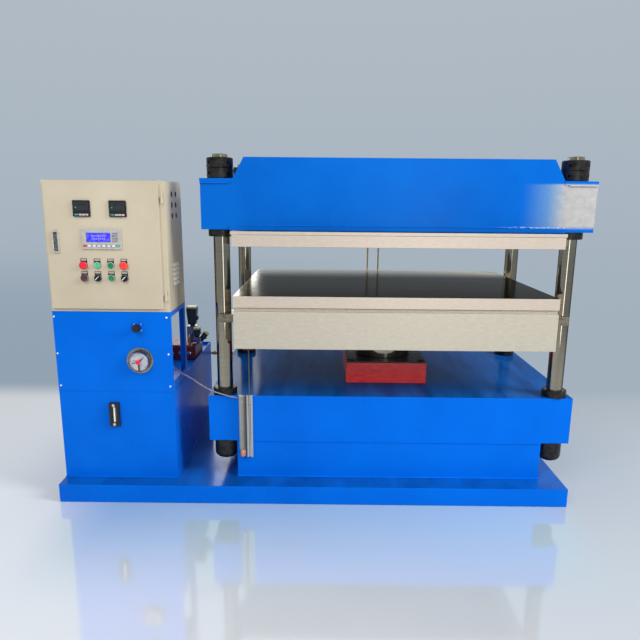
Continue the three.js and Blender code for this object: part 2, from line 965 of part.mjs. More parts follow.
function makePlatens() {
  const [wide, deep] = [platenHalfWidth, platenHalfDepth];
  const spacer = block(-wide - spacerLip, wide + spacerLip, -deep, deep, spacerBottom, spacerTop);
  addPiece('upper_spacer_plate', spacer, 'groundSteel');
  addPiece(
    'upper_heating_plate', block(-wide, wide, -deep, deep, upperPlateBottom, upperPlateTop), 'groundSteel',
  );

  const boxes = heaterCableOffsets.map((x) => {
    const leg = heaterLegPlace(x);
    const bottom = lowerPlateBottom + (lowerPlateThickness - terminalHeight) / 2;
    return block(
      leg - terminalWidth / 2, leg + terminalWidth / 2, deep - overrun,
      deep + terminalDepth, bottom, bottom + terminalHeight,
    );
  });
  const lower = block(-wide, wide, -deep, deep, lowerPlateBottom, lowerPlateTop);
  addPiece('lower_heating_plate', join(lower, ...boxes), 'groundSteel');

  const board = block(
    -wide + boardInset, wide - boardInset, -deep + boardInset, deep - boardInset, boardBottom, boardTop,
  );
  addPiece('insulation_board', board, 'board');
  addPiece('bolster', makeBolster(), 'greyAlloy');
}

// Deep moving table with pockets under it and a forked guide lug at each column
function makeBolster() {
  const [wide, deep] = [platenHalfWidth, platenHalfDepth];
  const body = block(-wide, wide, -deep, deep, bolsterBottom, bolsterTop);
  const pockets = [-1, 1].map((side) => block(
    Math.min(side * bolsterPocketInner, side * bolsterPocketOuter),
    Math.max(side * bolsterPocketInner, side * bolsterPocketOuter),
    -deep + bolsterWall,
    deep - bolsterWall,
    bolsterBottom - overrun,
    bolsterTop - bolsterTopThickness,
  ));
  const lugTop = bolsterTop - lugDrop;
  const lugs = [];
  const slots = [];
  for (const [, x, y] of columnPlaces()) {
    const side = Math.sign(x);
    const inner = side * (wide - overrun);
    const outer = side * (columnHalfSpanX + lugBeyond);
    const half = columnRadius + runningGap + lugArm;
    lugs.push(
      block(Math.min(inner, outer), Math.max(inner, outer), y - half, y + half, lugTop - lugHeight, lugTop),
    );
    const bore = columnRadius + runningGap;
    const far = outer + side * overrun;
    slots.push(post(bore, x, y, bolsterBottom - overrun, bolsterTop + overrun, fineSides));
    slots.push(block(
      Math.min(x, far), Math.max(x, far), y - bore, y + bore,
      lugTop - lugHeight - overrun, lugTop + overrun,
    ));
  }
  return cut(join(cut(body, ...pockets), ...lugs), ...slots);
}

function makeCylinder() {
  const head = block(
    -cylinderHalfWidth, cylinderHalfWidth, -cylinderHalfDepth,
    cylinderHalfDepth, cylinderBlockBottom, cylinderBlockTop,
  );
  const barrel = post(barrelRadius, 0, 0, barrelBottom, cylinderBlockTop - overrun, fineSides);
  const bore = post(ramRadius + seatGap + seatGap, 0, 0, boreBottom, cylinderBlockTop + overrun, fineSides);
  const port = spigot(
    pipeRadius + seatGap, 0, pipeEntryHeight, cylinderHalfDepth - portDepth,
    cylinderHalfDepth + overrun, tinySides,
  );
  addPiece('cylinder_body', cut(join(head, barrel), bore, port), 'redPaint');

  const halfX = cylinderHalfWidth - glandInset;
  const halfY = cylinderHalfDepth - glandInset;
  const plateTop = glandBottom + glandThickness;
  const plate = block(-halfX, halfX, -halfY, halfY, glandBottom, plateTop);
  const collar = post(glandRingRadius, 0, 0, glandBottom + overrun, plateTop + glandRingHeight, fineSides);
  const bolts = [];
  for (const sideX of [-1, 1]) {
    for (const sideY of [-1, 1]) {
      const x = sideX * (halfX - glandBoltInset);
      const y = sideY * (halfY - glandBoltInset);
      bolts.push(post(glandBoltRadius, x, y, glandBottom + overrun, plateTop + glandBoltHeight, boltSides));
    }
  }
  const hole = post(
    ramRadius + seatGap + seatGap, 0, 0, glandBottom - overrun,
    plateTop + glandRingHeight + overrun, fineSides,
  );
  addPiece('gland_flange', cut(join(plate, collar, ...bolts), hole), 'blackOxide');

  const ram = turned([
    [0, ramBottom],
    [ramRadius - ramChamfer, ramBottom],
    [ramRadius, ramBottom + ramChamfer],
    [ramRadius, bolsterBottom - seatGap],
    [0, bolsterBottom - seatGap],
  ], 0, 0, fineSides);
  addPiece('ram', ram, 'chrome');
}

function makeTank() {
  const shell = block(unitLeft, unitRight, -unitFront, tankBack, tankBottom, tankTop);
  const room = block(
    unitLeft + tankWall,
    unitRight - tankWall,
    -unitFront + tankWall,
    tankBack - tankWall,
    tankBottom + tankWall,
    tankTop + overrun,
  );
  addPiece('oil_tank', cut(shell, room), 'bluePaint');

  const plate = block(unitLeft, unitRight, -unitFront, tankBack, lidBottom, lidTop);
  const rimTop = lidTop + lidRimHeight;
  const rimFront = frameBack + seatGap;
  const rim = block(unitLeft, unitRight, rimFront, tankBack, lidBottom, rimTop);
  const rimRoom = block(
    unitLeft + lidRimWall, unitRight - lidRimWall, rimFront - overrun,
    tankBack - lidRimWall, lidTop, rimTop + overrun,
  );
  const neckHole = post(
    pumpNeckRadius + runningGap, motorAxisX, motorAxisY, lidBottom - overrun, lidTop + overrun, roundSides,
  );
  const fillerHole = post(
    breatherNeckRadius + seatGap, unitLeft + breatherInset,
    breatherAxisY, lidBottom - overrun, lidTop + overrun, roundSides,
  );
  addPiece('tank_lid', cut(join(plate, rim), rimRoom, neckHole, fillerHole), 'bluePaint');
}

// One side of the unit frame: a ring of welded angle, with the legs turned inwards
function makeSideFrame(side) {
  const outer = side > 0 ? unitRight : unitLeft;
  const skin = outer - side * frameWall;
  const deepFace = outer - side * frameLeg;
  const sheet = block(
    Math.min(outer, skin), Math.max(outer, skin), frameFront, frameBack, frameBottom, frameTop,
  );
  const window = block(
    Math.min(outer, skin) - overrun,
    Math.max(outer, skin) + overrun,
    frameFront + frameWall,
    frameBack - frameLeg,
    frameBottom + frameFootRail,
    frameTop - frameTopRail,
  );
  const [low, high] = [Math.min(outer, deepFace), Math.max(outer, deepFace)];
  const rearLeg = block(low, high, frameBack - frameWall, frameBack, frameBottom, frameTop);
  const topLeg = block(low, high, frameFront, frameBack, frameTop - frameWall, frameTop);
  const footLeg = block(low, high, frameFront, frameBack, frameBottom, frameBottom + frameWall);
  const narrow = outer - side * frameFrontLeg;
  const frontLeg = block(
    Math.min(outer, narrow), Math.max(outer, narrow),
    frameFront, frameFront + frameWall, frameBottom, frameTop,
  );
  return join(cut(sheet, window), rearLeg, topLeg, footLeg, frontLeg);
}

function makeUnitFrame() {
  addPiece('unit_frame_left', makeSideFrame(-1), 'bluePaint');
  addPiece('unit_frame_right', makeSideFrame(1), 'bluePaint');

  const sheet = block(unitLeft, unitRight, -unitFront, -unitFront + panelThickness, frameBottom, frameTop);
  const back = -unitFront + panelThickness + overrun;
  const gaugeHole = spigot(
    gaugeCaseRadius + seatGap, unitLeft + gaugeInset, frameTop - gaugeDrop,
    -unitFront - overrun, back, roundSides,
  );
  const valveHole = spigot(
    regulatorNeckRadius + seatGap, unitLeft + knobInset,
    frameTop - knobDrop, -unitFront - overrun, back, smallSides,
  );
  const levels = [
    frameTop - panelScrewTopInset,
    (frameTop - panelScrewTopInset + frameBottom + panelScrewFootInset) / 2,
    frameBottom + panelScrewFootInset,
  ];
  const screws = [];
  for (const x of [unitLeft + panelScrewLeftInset, unitRight - panelScrewRightInset]) {
    for (const z of levels) {
      screws.push(
        spigot(panelScrewRadius, x, z, -unitFront - panelScrewHeight, -unitFront + overrun / 2, boltSides),
      );
    }
  }
  addPiece('unit_front_panel', join(cut(sheet, gaugeHole, valveHole), ...screws), 'bluePaint');
}

// Finned motor body outline in plan
function finnedOutline() {
  const shape = new THREE.Shape();
  const step = (Math.PI * 2) / finCount;
  for (let i = 0; i < finCount; i += 1) {
    const centre = i * step;
    const half = (step * finWidthShare) / 2;
    const root = (step * finRootShare) / 2;
    const corners = [
      [motorRadius - finDepth, centre - root],
      [motorRadius, centre - half],
      [motorRadius, centre + half],
      [motorRadius - finDepth, centre + root],
    ];
    corners.forEach(([radius, angle], corner) => {
      const [x, y] = [radius * Math.cos(angle), radius * Math.sin(angle)];
      if (i === 0 && corner === 0) shape.moveTo(x, y);
      else shape.lineTo(x, y);
    });
  }
  return shape;
}

function makeMotor() {
  const flangeTop = motorBottom + motorFlangeThickness;
  const bodyTop = flangeTop + motorLength;
  const coverTop = bodyTop + fanCoverHeight;
  const finned = toSolid(
    new THREE.ExtrudeGeometry(finnedOutline(), { depth: motorLength, bevelEnabled: false }),
  )
    .translate([motorAxisX, motorAxisY, flangeTop]);
  const flange = post(
    motorFlangeRadius, motorAxisX, motorAxisY, motorBottom, flangeTop + overrun, roundSides,
  );
  const cover = turned([
    [0, bodyTop - overrun],
    [fanCoverRadius, bodyTop - overrun],
    [fanCoverRadius, coverTop - finDepth],
    [fanCoverRadius - finDepth, coverTop],
    [0, coverTop],
  ], motorAxisX, motorAxisY, roundSides);
  const boxMiddle = flangeTop + motorLength / 2;
  const terminals = block(
    motorAxisX - terminalBoxWidth / 2,
    motorAxisX + terminalBoxWidth / 2,
    motorAxisY + motorRadius - finDepth - overrun,
    motorAxisY + motorRadius + terminalBoxReach,
    boxMiddle - terminalBoxHeight / 2,
    boxMiddle + terminalBoxHeight / 2,
  );
  const shaftBore = post(
    turningHole(shaftRadius, seatGap, smallSides), motorAxisX, motorAxisY, motorBottom - overrun,
    motorBottom + shaftEntry + runningGap, smallSides,
  );
  addPiece('electric_motor', cut(join(finned, flange, cover, terminals), shaftBore), 'motorPaint');
}

// Gear pump under the lid, hung from its own bell housing with a window on each side
function makePump() {
  const [x, y] = [motorAxisX, motorAxisY];
  const neckBottom = lidBottom - pumpNeckLength;
  const bell = turned([
    [shaftRadius, bellBottom],
    [bellFlangeRadius, bellBottom],
    [bellFlangeRadius, bellBottom + bellFlangeThickness],
    [bellRadius, bellBottom + bellFlangeThickness],
    [bellRadius, bellTop],
    [bellRadius - bellWall, bellTop],
    [bellRadius - bellWall, bellBottom + bellFlangeThickness],
    [shaftRadius, bellBottom + bellFlangeThickness],
    [shaftRadius, bellBottom],
  ], x, y, roundSides);
  const windowBottom = bellBottom + bellFlangeThickness + bellWall;
  const window = block(
    x - bellRadius - overrun,
    x + bellRadius + overrun,
    y - bellWindowWidth / 2,
    y + bellWindowWidth / 2,
    windowBottom,
    windowBottom + bellWindowHeight,
  );
  const neck = post(pumpNeckRadius, x, y, neckBottom, bellBottom + overrun, roundSides);
  const body = block(
    x - pumpHalfWidth, x + pumpHalfWidth, y - pumpHalfDepth,
    y + pumpHalfDepth, neckBottom - pumpHeight, neckBottom + overrun,
  );
  const shaftBore = post(
    turningHole(shaftRadius, seatGap, smallSides), x, y, bellBottom - shaftEntry - runningGap,
    bellBottom + bellFlangeThickness + overrun, smallSides,
  );
  addPiece('gear_pump', cut(join(cut(bell, window), neck, body), shaftBore), 'castIron');

  const couplingBottom = windowBottom - overrun;
  const couplingTop = couplingBottom + couplingHeight;
  const jaw = turned([
    [0, bellBottom - shaftEntry],
    [shaftRadius, bellBottom - shaftEntry],
    [shaftRadius, couplingBottom],
    [couplingRadius, couplingBottom],
    [couplingRadius, couplingTop],
    [shaftRadius, couplingTop],
    [shaftRadius, motorBottom + shaftEntry],
    [0, motorBottom + shaftEntry],
  ], x, y, smallSides);
  addPiece('motor_shaft', jaw, 'greyAlloy');
}

// A neck, a square coil with rounded corners that is wider at the foot, and its cable plug on top
function makeSolenoid(width, height) {
  const half = width / 2;
  const core = half - coilGrow;
  const top = valveNeckHeight + height;
  const neck = post(valveNeckRadius, 0, 0, -overrun, valveNeckHeight + overrun, tinySides);
  const coil = extrudedUp(roundedOutline(-core, core, -core, core, coilRounding), valveNeckHeight, top);
  const foot = extrudedUp(
    roundedOutline(-half, half, -half, half, coilRounding),
    valveNeckHeight, valveNeckHeight + height * coilFootShare,
  );
  const plug = block(
    -core + plugInset, core - plugInset, -core + plugInset, core - plugInset, top - overrun, top + plugHeight,
  );
  return join(neck, coil, foot, plug);
}

function makeValves() {
  const left = unitRight - manifoldLeft;
  const right = unitRight - manifoldRight;
  const bottom = lidTop + seatGap;
  const top = bottom + manifoldHeight;
  const section = outline([
    [manifoldFront, bottom],
    [manifoldBack, bottom],
    [manifoldBack, top - manifoldChamfer],
    [manifoldBack - manifoldChamfer, top],
    [manifoldFront + manifoldChamfer, top],
    [manifoldFront, top - manifoldChamfer],
  ]);
  const port = spigot(
    pipeRadius + seatGap, unitRight - pipeExitInset, pipeOverTank,
    manifoldBack - portDepth, manifoldBack + overrun, tinySides,
  );
  addPiece('valve_manifold', cut(extrudedRight(section, left, right), port), 'darkRed');

  const base = top + seatGap;
  const upperX = unitRight - upperValveInset;
  const upperTop = base + upperValveBodyHeight;
  const upperBody = block(
    upperX - upperValveWidth / 2,
    upperX + upperValveWidth / 2,
    upperValveAxisY - upperValveDepth / 2,
    upperValveAxisY + upperValveDepth / 2,
    base,
    upperTop,
  );
  const upperCoil = makeSolenoid(upperCoilWidth, upperCoilHeight).translate(
    [upperX, upperValveAxisY, upperTop],
  );
  addPiece('solenoid_valve_upper', join(upperBody, upperCoil), 'blackPlastic');

  const lowerX = unitRight - lowerValveInset;
  const lowerTop = base + lowerValveBodyHeight;
  const lowerBody = block(
    lowerX - lowerValveWidth / 2,
    lowerX + lowerValveWidth / 2,
    lowerValveAxisY - lowerValveDepth / 2,
    lowerValveAxisY + lowerValveDepth / 2,
    base,
    lowerTop,
  );
  const uprightCoil = makeSolenoid(lowerCoilWidth, lowerCoilHeight)
    .translate([lowerX - coilGrow, lowerValveAxisY, lowerTop]);
  const tiltedCoil = makeSolenoid(tiltedCoilWidth, tiltedCoilHeight)
    .rotate([0, coilTiltDegrees, 0])
    .translate(
      [lowerX + lowerValveWidth / 2 - coilGrow, lowerValveAxisY, lowerTop - valveNeckRadius - coilGrow],
    );
  addPiece('solenoid_valve_lower', join(lowerBody, uprightCoil, tiltedCoil), 'blackPlastic');
}

function makePipe() {
  const x = unitRight - pipeExitInset;
  const corners = [
    new THREE.Vector3(x, manifoldBack - portDepth + seatGap, pipeOverTank),
    new THREE.Vector3(x, pipeBehind, pipeOverTank),
    new THREE.Vector3(x, pipeBehind, pipeRunHeight),
    new THREE.Vector3(0, pipeBehind, pipeRunHeight),
    new THREE.Vector3(0, pipeBehind, pipeEntryHeight),
    new THREE.Vector3(0, cylinderHalfDepth - portDepth + seatGap, pipeEntryHeight),
  ];
  addPiece('pressure_pipe', tube(bentRoute(corners, pipeBend), pipeRadius, pipeSides), 'zincYellow');
}

function makeBreather() {
  const bottom = lidTop + seatGap;
  const cap = turned([
    [0, lidBottom - breatherNeckLength],
    [breatherNeckRadius, lidBottom - breatherNeckLength],
    [breatherNeckRadius, bottom],
    [breatherRadius, bottom],
    [breatherRadius, bottom + breatherHeight * breatherWallShare],
    [breatherRadius * breatherCrownShare, bottom + breatherHeight],
    [0, bottom + breatherHeight],
  ], unitLeft + breatherInset, breatherAxisY, roundSides);
  addPiece('breather_cap', cap, 'blackPlastic');
}

function makeRegulator() {
  const x = unitLeft + knobInset;
  const z = frameTop - knobDrop;
  const plateBack = -unitFront - seatGap;
  const plateFront = plateBack - knobPlateThickness;
  const plate = block(
    x - knobPlateHalfWidth, x + knobPlateHalfWidth, plateFront,
    plateBack, z - knobPlateHalfHeight, z + knobPlateHalfHeight,
  );
  const bodyFront = -unitFront + panelThickness + seatGap + seatGap;
  const neck = spigot(regulatorNeckRadius, x, z, plateFront + overrun / 2, bodyFront + overrun, smallSides);
  const body = block(
    x - regulatorHalfWidth, x + regulatorHalfWidth, bodyFront, bodyFront + regulatorLength,
    z - regulatorHalfWidth, z + regulatorHalfWidth,
  );
  const bore = spigot(
    knobShaftRadius + seatGap, x, z, plateFront - overrun,
    plateFront + knobShaftLength + runningGap, roundSides,
  );
  addPiece('regulating_valve', cut(join(plate, neck, body), bore), 'castIron');

  const grip = knobLength;
  const knob = turnedForward([
    [0, -knobShaftLength],
    [knobShaftRadius, -knobShaftLength],
    [knobShaftRadius, seatGap],
    [knobRadius * knobNeckShare, seatGap],
    [knobRadius, grip * knobGripShare],
    [knobRadius, grip * knobFaceShare],
    [knobRadius * knobFaceShare, grip],
    [0, grip],
  ], x, z, plateFront, roundSides);
  addPiece('regulating_knob', knob, 'blackPlastic');
}

function makeGauge() {
  const x = unitLeft + gaugeInset;
  const z = frameTop - gaugeDrop;
  const face = -unitFront - seatGap;
  const rim = gaugeFlangeThickness + bezelHeight;
  const dial = rim - dialDepth;
  const housing = turnedForward([
    [0, -gaugeCaseDepth],
    [gaugeCaseRadius, -gaugeCaseDepth],
    [gaugeCaseRadius, 0],
    [gaugeFlangeRadius, 0],
    [gaugeFlangeRadius, gaugeFlangeThickness],
    [bezelRadius, gaugeFlangeThickness],
    [bezelRadius, rim - seatGap - glassInset],
    [bezelRadius - glassInset, rim],
    [bezelRadius - bezelWall, rim],
    [bezelRadius - bezelWall, dial],
    [0, dial],
  ], x, z, face, roundSides);
  const pinHole = spigot(
    pointerPinRadius + seatGap, x, z, face - dial - overrun,
    face - dial + pointerPinLength + runningGap, tinySides,
  );
  addPiece('gauge_case', cut(housing, pinHole), 'chrome');

  const pointerFace = face - dial - pointerLift;
  const bladeBack = pointerFace + pointerThickness;
  const blade = block(
    -pointerWidth / 2, pointerWidth / 2, pointerFace, bladeBack, -pointerTail, pointerLength,
  )
    .rotate([0, pointerRestDegrees, 0])
    .translate([x, 0, z]);
  const hub = spigot(pointerHubRadius, x, z, pointerFace, bladeBack + overrun / 2, tinySides);
  const pin = spigot(
    pointerPinRadius, x, z, pointerFace + pointerThickness / 2, face - dial + pointerPinLength, tinySides,
  );
  addPiece('gauge_pointer', join(blade, hub, pin), 'blackPlastic');

  const glassBack = face - rim + glassThickness + glassInset;
  const glassRadius = bezelRadius - bezelWall - seatGap;
  const glass = spigot(glassRadius, x, z, glassBack - glassThickness, glassBack, roundSides);
  const knobHole = spigot(
    setKnobPinRadius + seatGap, x, z, glassBack - glassThickness - overrun, glassBack + overrun, tinySides,
  );
  addPiece('gauge_glass', cut(glass, knobHole), 'clearGlass');

  const knobBack = glassBack - glassThickness - seatGap;
  const knob = spigot(setKnobRadius, x, z, knobBack - setKnobLength, knobBack, smallSides);
  const knobPin = spigot(
    setKnobPinRadius, x, z, knobBack - setKnobLength / 2, glassBack + seatGap, tinySides,
  );
  addPiece('gauge_set_knob', join(knob, knobPin), 'redPlastic');
}

function makeLevelGauge() {
  const left = unitLeft + levelInset;
  const right = left + levelWidth;
  const middle = (left + right) / 2;
  const top = tankTop - levelTop + seatGap;
  const bottom = top - levelLength;
  const back = -unitFront - seatGap;
  const front = back - levelThickness;
  const frame = block(left, right, front, back, bottom, top);
  const slotMiddle = (top + bottom) / 2;
  const slot = block(
    middle - levelSlotWidth / 2,
    middle + levelSlotWidth / 2,
    front - overrun,
    front + levelSlotDepth,
    slotMiddle - levelSlotLength / 2,
    slotMiddle + levelSlotLength / 2,
  );
  const sight = post(
    levelTubeRadius, middle, front + levelSlotDepth / 2, slotMiddle - levelSlotLength / 2 - overrun,
    slotMiddle + levelSlotLength / 2 + overrun, tinySides,
  );
  const bolts = [slotMiddle - levelSlotLength / 2 - levelBoltRadius - overrun,
    slotMiddle + levelSlotLength / 2 + levelBoltRadius + overrun].map((z) => spigot(
    levelBoltRadius, middle, z, front - levelBoltHeight, front + overrun, tinySides,
  ));
  addPiece('level_gauge', join(cut(frame, slot), sight, ...bolts), 'greyAlloy');
}

// Round vents and pressed louvres in one side wall of the box
function ventTools(side) {
  const outer = side > 0 ? unitRight : unitLeft;
  const inner = outer - side * boxWall;
  const [low, high] = [Math.min(outer, inner) - overrun, Math.max(outer, inner) + overrun];
  const holes = [];
  for (let row = 0; row < ventRows; row += 1) {
    for (let column = 0; column < ventColumns; column += 1) {
      const y = -unitFront + ventFrontInset + column * ventPitchY;
      holes.push(axle(ventRadius, y, boxTop - ventTopDrop - row * ventPitchZ, low, high, tinySides));
    }
  }
  const hoods = [];
  const front = -unitFront + louvreFrontInset;
  for (let row = 0; row < louvreCount; row += 1) {
    const z = boxTop - louvreTopDrop - row * louvrePitch;
    holes.push(block(low, high, front, front + louvreLength, z - louvreHeight, z));
    const shape = outline([
      [inner, z + louvreHeight / 2],
      [outer, z + louvreHeight / 2],
      [outer + side * louvreReach, z - louvreHeight],
      [outer + side * (louvreReach - boxWall / 2), z - louvreHeight],
      [inner, z - boxWall / 2],
    ]);
    hoods.push(extrudedBack(shape, front - overrun, front + louvreLength + overrun));
  }
  return { holes, hoods };
}

function hingeLevels() {
  return [boxTop - hingeTopDrop - hingeLength, boxBottom + hingeFootLift];
}

function switchGlandPlace() {
  return new THREE.Vector2(unitRight - switchGlandInset, -unitFront + switchGlandReach);
}

function makeBox() {
  const shell = block(unitLeft, unitRight, -unitFront, boxBack, boxBottom, boxTop);
  const room = block(
    unitLeft + boxWall,
    unitRight - boxWall,
    -unitFront + boxWall,
    boxBack - boxWall,
    boxBottom + boxWall,
    boxTop - boxWall,
  );
  const mouth = block(
    unitLeft + rimWidth,
    unitRight - rimHingeSide,
    -unitFront - overrun,
    -unitFront + boxWall + overrun,
    boxBottom + rimWidth,
    boxTop - rimWidth,
  );
  const right = ventTools(1);
  const walls = cut(shell, room, mouth, ...right.holes);
  const axisX = unitRight - hingeOffset;
  const axisY = -unitFront - hingeRadius - doorGap;
  const knuckles = hingeLevels().map((bottom) => {
    const middle = bottom + hingeLength / 2;
    const barrel = post(hingeRadius, axisX, axisY, bottom, middle - seatGap, smallSides);
    const pin = post(
      hingePinRadius, axisX, axisY, middle - overrun,
      bottom + hingeLength - hingeBlind - seatGap, tinySides,
    );
    const leaf = block(
      axisX - hingeLeafThickness, axisX + hingeRadius,
      axisY, -unitFront + boxWall / 2, bottom, middle - seatGap,
    );
    return join(barrel, pin, leaf);
  });
  const place = switchGlandPlace();
  const gland = post(
    switchGlandRadius, place.x, place.y, boxBottom - switchGlandLength, boxBottom + boxWall / 2, tinySides,
  );
  addPiece('control_box_body', join(walls, ...right.hoods, ...knuckles, gland), 'beigePaint');
}

function controllerPlaces() {
  return [0, 1].map((i) => [unitLeft + firstControllerInset + i * controllerPitch, boxTop - controllerDrop]);
}

function buttonPlace(row, column) {
  return [unitLeft + firstButtonInset + column * buttonPitch, boxTop - upperRowDrop - row * rowPitch];
}

function makeDoor() {
  const pan = block(doorLeft, doorRight, doorFace, doorBackFace, doorBottom, doorTop);
  const tray = block(
    doorLeft + doorWall,
    doorRight - doorWall,
    doorFace + doorWall,
    doorBackFace + overrun,
    doorBottom + doorWall,
    doorTop - doorWall,
  );
  const rings = [];
  const holes = [];
  const back = doorFace + doorWall + overrun;
  const holeRadius = turningHole(buttonRadius, buttonGap, smallSides);
  for (let row = 0; row < buttonRows; row += 1) {
    for (let column = 0; column < buttonColumns; column += 1) {
      const [x, z] = buttonPlace(row, column);
      rings.push(
        spigot(buttonRingRadius, x, z, doorFace - buttonRingHeight, doorFace + doorWall / 2, smallSides),
      );
      holes.push(spigot(holeRadius, x, z, doorFace - buttonRingHeight - overrun, back, smallSides));
    }
  }
  const halfX = controllerWidth / 2 - controllerBodyInset + cutoutGap;
  const halfZ = controllerHeight / 2 - controllerBodyInset + cutoutGap;
  for (const [x, z] of controllerPlaces()) {
    holes.push(block(x - halfX, x + halfX, doorFace - overrun, back, z - halfZ, z + halfZ));
  }
  const displayX = unitLeft + displayInset;
  const displayZ = boxTop - displayDrop;
  const halfW = displayWidth / 2 - displayBodyInset + cutoutGap;
  const halfH = displayHeight / 2 - displayBodyInset + cutoutGap;
  holes.push(
    block(displayX - halfW, displayX + halfW, doorFace - overrun, back, displayZ - halfH, displayZ + halfH),
  );

  const axisX = unitRight - hingeOffset;
  const axisY = -unitFront - hingeRadius - doorGap;
  const knuckles = hingeLevels().map((bottom) => {
    const middle = bottom + hingeLength / 2 + seatGap;
    const top = bottom + hingeLength;
    const barrel = post(hingeRadius, axisX, axisY, middle, top, smallSides);
    const leaf = block(
      doorRight - doorWall, axisX, axisY - hingeLeafThickness / 2,
      axisY + hingeLeafThickness / 2, middle, top,
    );
    const boreRadius = turningHole(hingePinRadius, hingePinGap, tinySides);
    const bore = post(boreRadius, axisX, axisY, middle - overrun, top - hingeBlind, tinySides);
    return cut(join(barrel, leaf), bore);
  });
  const lock = makeLock();
  const door = cut(join(cut(pan, tray), ...rings, lock.housing), ...holes, ...lock.cuts);
  addPiece('control_box_door', join(door, ...knuckles), 'beigePaint');
  addPiece('lock_lever', lock.lever, 'blackOxide');
}

// Flush lock: a housing with a long recess, and a lever that swings out of it about a pin at its foot
function makeLock() {
  const left = doorLeft + lockInset - lockWidth / 2;
  const right = left + lockWidth;
  const middle = (left + right) / 2;
  const bottom = boxBottom + lockFootLift;
  const front = doorFace - lockProud;
  const housing = extrudedBack(
    roundedOutline(left, right, bottom, bottom + lockHeight, leverThickness), front, doorFace + doorWall,
  );
  const recessBottom = bottom + (lockHeight - lockRecessHeight) / 2;
  const recess = block(
    middle - lockRecessWidth / 2,
    middle + lockRecessWidth / 2,
    front - overrun,
    front + lockRecessDepth,
    recessBottom,
    recessBottom + lockRecessHeight,
  );
  const heel = leverThickness / 2;
  const pivotY = front + lockRecessDepth - heel - seatGap;
  const pivotZ = recessBottom + heel + leverFootGap;
  const pinHole = axle(
    leverPinRadius + seatGap, pivotY, pivotZ,
    middle - leverWidth / 2 - leverPinReach - seatGap,
    middle + leverWidth / 2 + leverPinReach + seatGap, tinySides,
  );
  const shape = new THREE.Shape();
  shape.moveTo(pivotY - heel, pivotZ);
  shape.absarc(pivotY, pivotZ, heel, Math.PI, Math.PI * 2);
  shape.lineTo(pivotY + heel, pivotZ + leverLength - heel);
  shape.lineTo(pivotY - heel, pivotZ + leverLength - heel);
  const blade = extrudedRight(shape, middle - leverWidth / 2, middle + leverWidth / 2);
  const pin = axle(
    leverPinRadius, pivotY, pivotZ, middle - leverWidth / 2 - leverPinReach,
    middle + leverWidth / 2 + leverPinReach, tinySides,
  );
  return { housing, cuts: [recess, pinHole], lever: join(blade, pin) };
}

function makeInstruments() {
  const back = doorFace - seatGap;
  controllerPlaces().forEach(([x, z], i) => {
    const bezel = extrudedBack(
      roundedOutline(
        x - controllerWidth / 2, x + controllerWidth / 2, z - controllerHeight / 2, z + controllerHeight / 2,
        controllerBodyInset,
      ),
      back - controllerProud,
      back,
    );
    const halfX = controllerWidth / 2 - controllerBodyInset;
    const halfZ = controllerHeight / 2 - controllerBodyInset;
    const body = block(x - halfX, x + halfX, back - overrun, back + controllerDepth, z - halfZ, z + halfZ);
    addPiece(i === 0 ? 'temperature_controller_left' : 'temperature_controller_right', join(
      bezel, body,
    ), 'blackPlastic');
  });

  const x = unitLeft + displayInset;
  const z = boxTop - displayDrop;
  const face = extrudedBack(
    roundedOutline(
      x - displayWidth / 2, x + displayWidth / 2, z - displayHeight / 2, z + displayHeight / 2, displayRounding,
    ),
    back - displayProud,
    back,
  );
  const halfW = displayWidth / 2 - displayBodyInset;
  const halfH = displayHeight / 2 - displayBodyInset;
  const body = block(x - halfW, x + halfW, back - overrun, back + displayDepth, z - halfH, z + halfH);
  addPiece('operator_panel', join(face, body), 'greyPlastic');
}

// Each moving cap runs through its ring, and a shoulder behind the door keeps it in
function makeCap(row, column, head) {
  const [x, z] = buttonPlace(row, column);
  const shoulder = doorWall + seatGap;
  return turnedForward([
    [0, -shoulder - buttonStop],
    [buttonStopRadius, -shoulder - buttonStop],
    [buttonStopRadius, -shoulder],
    [buttonRadius, -shoulder],
    ...head,
  ], x, z, doorFace, smallSides);
}

function flushHead() {
  const top = buttonRingHeight + buttonProud;
  return [[buttonRadius, top - buttonRounding], [buttonRadius - buttonRounding, top], [0, top]];
}

function mushroomHead(radius) {
  const under = buttonRingHeight + buttonTravel + runningGap;
  const top = under + mushroomThickness;
  return [
    [buttonRadius, under - runningGap],
    [radius, under],
    [radius, top - buttonRounding - buttonRounding],
    [radius - buttonRounding, top - buttonRounding],
    [radius / 2, top],
    [0, top],
  ];
}

function lampHead() {
  const under = buttonRingHeight + seatGap;
  const top = buttonRingHeight + lampProud;
  return [
    [buttonRadius, under],
    [lampRadius, under],
    [lampRadius, top - buttonRounding],
    [lampRadius - buttonRounding, top],
    [0, top],
  ];
}

function makeSelector(column) {
  const [x, z] = buttonPlace(1, column);
  const top = buttonRingHeight + selectorProud;
  const disc = makeCap(1, column, [[buttonRadius, top], [0, top]]);
  const bar = block(
    -selectorBarWidth / 2, selectorBarWidth / 2, -top - selectorBarHeight,
    -top + overrun, -buttonRadius, buttonRadius,
  ).rotate([0, selectorRestDegrees, 0]).translate([x, doorFace, z]);
  return join(disc, bar);
}

function makeButtons() {
  addPiece('stop_button', makeCap(0, 0, mushroomHead(stopButtonRadius)), 'redPlastic');
  addPiece('start_button', makeCap(0, 1, flushHead()), 'greenPlastic');
  addPiece('close_button', makeCap(0, 2, flushHead()), 'greenPlastic');
  addPiece('emergency_stop', makeCap(0, 3, mushroomHead(emergencyButtonRadius)), 'redPlastic');
  addPiece('indicator_lamp', makeCap(1, 0, lampHead()), 'lampRed');
  addPiece('heater_selector', makeSelector(1), 'blackPlastic');
  addPiece('open_button', makeCap(1, 2, flushHead()), 'greenPlastic');
  addPiece('mode_selector', makeSelector(3), 'blackPlastic');
}

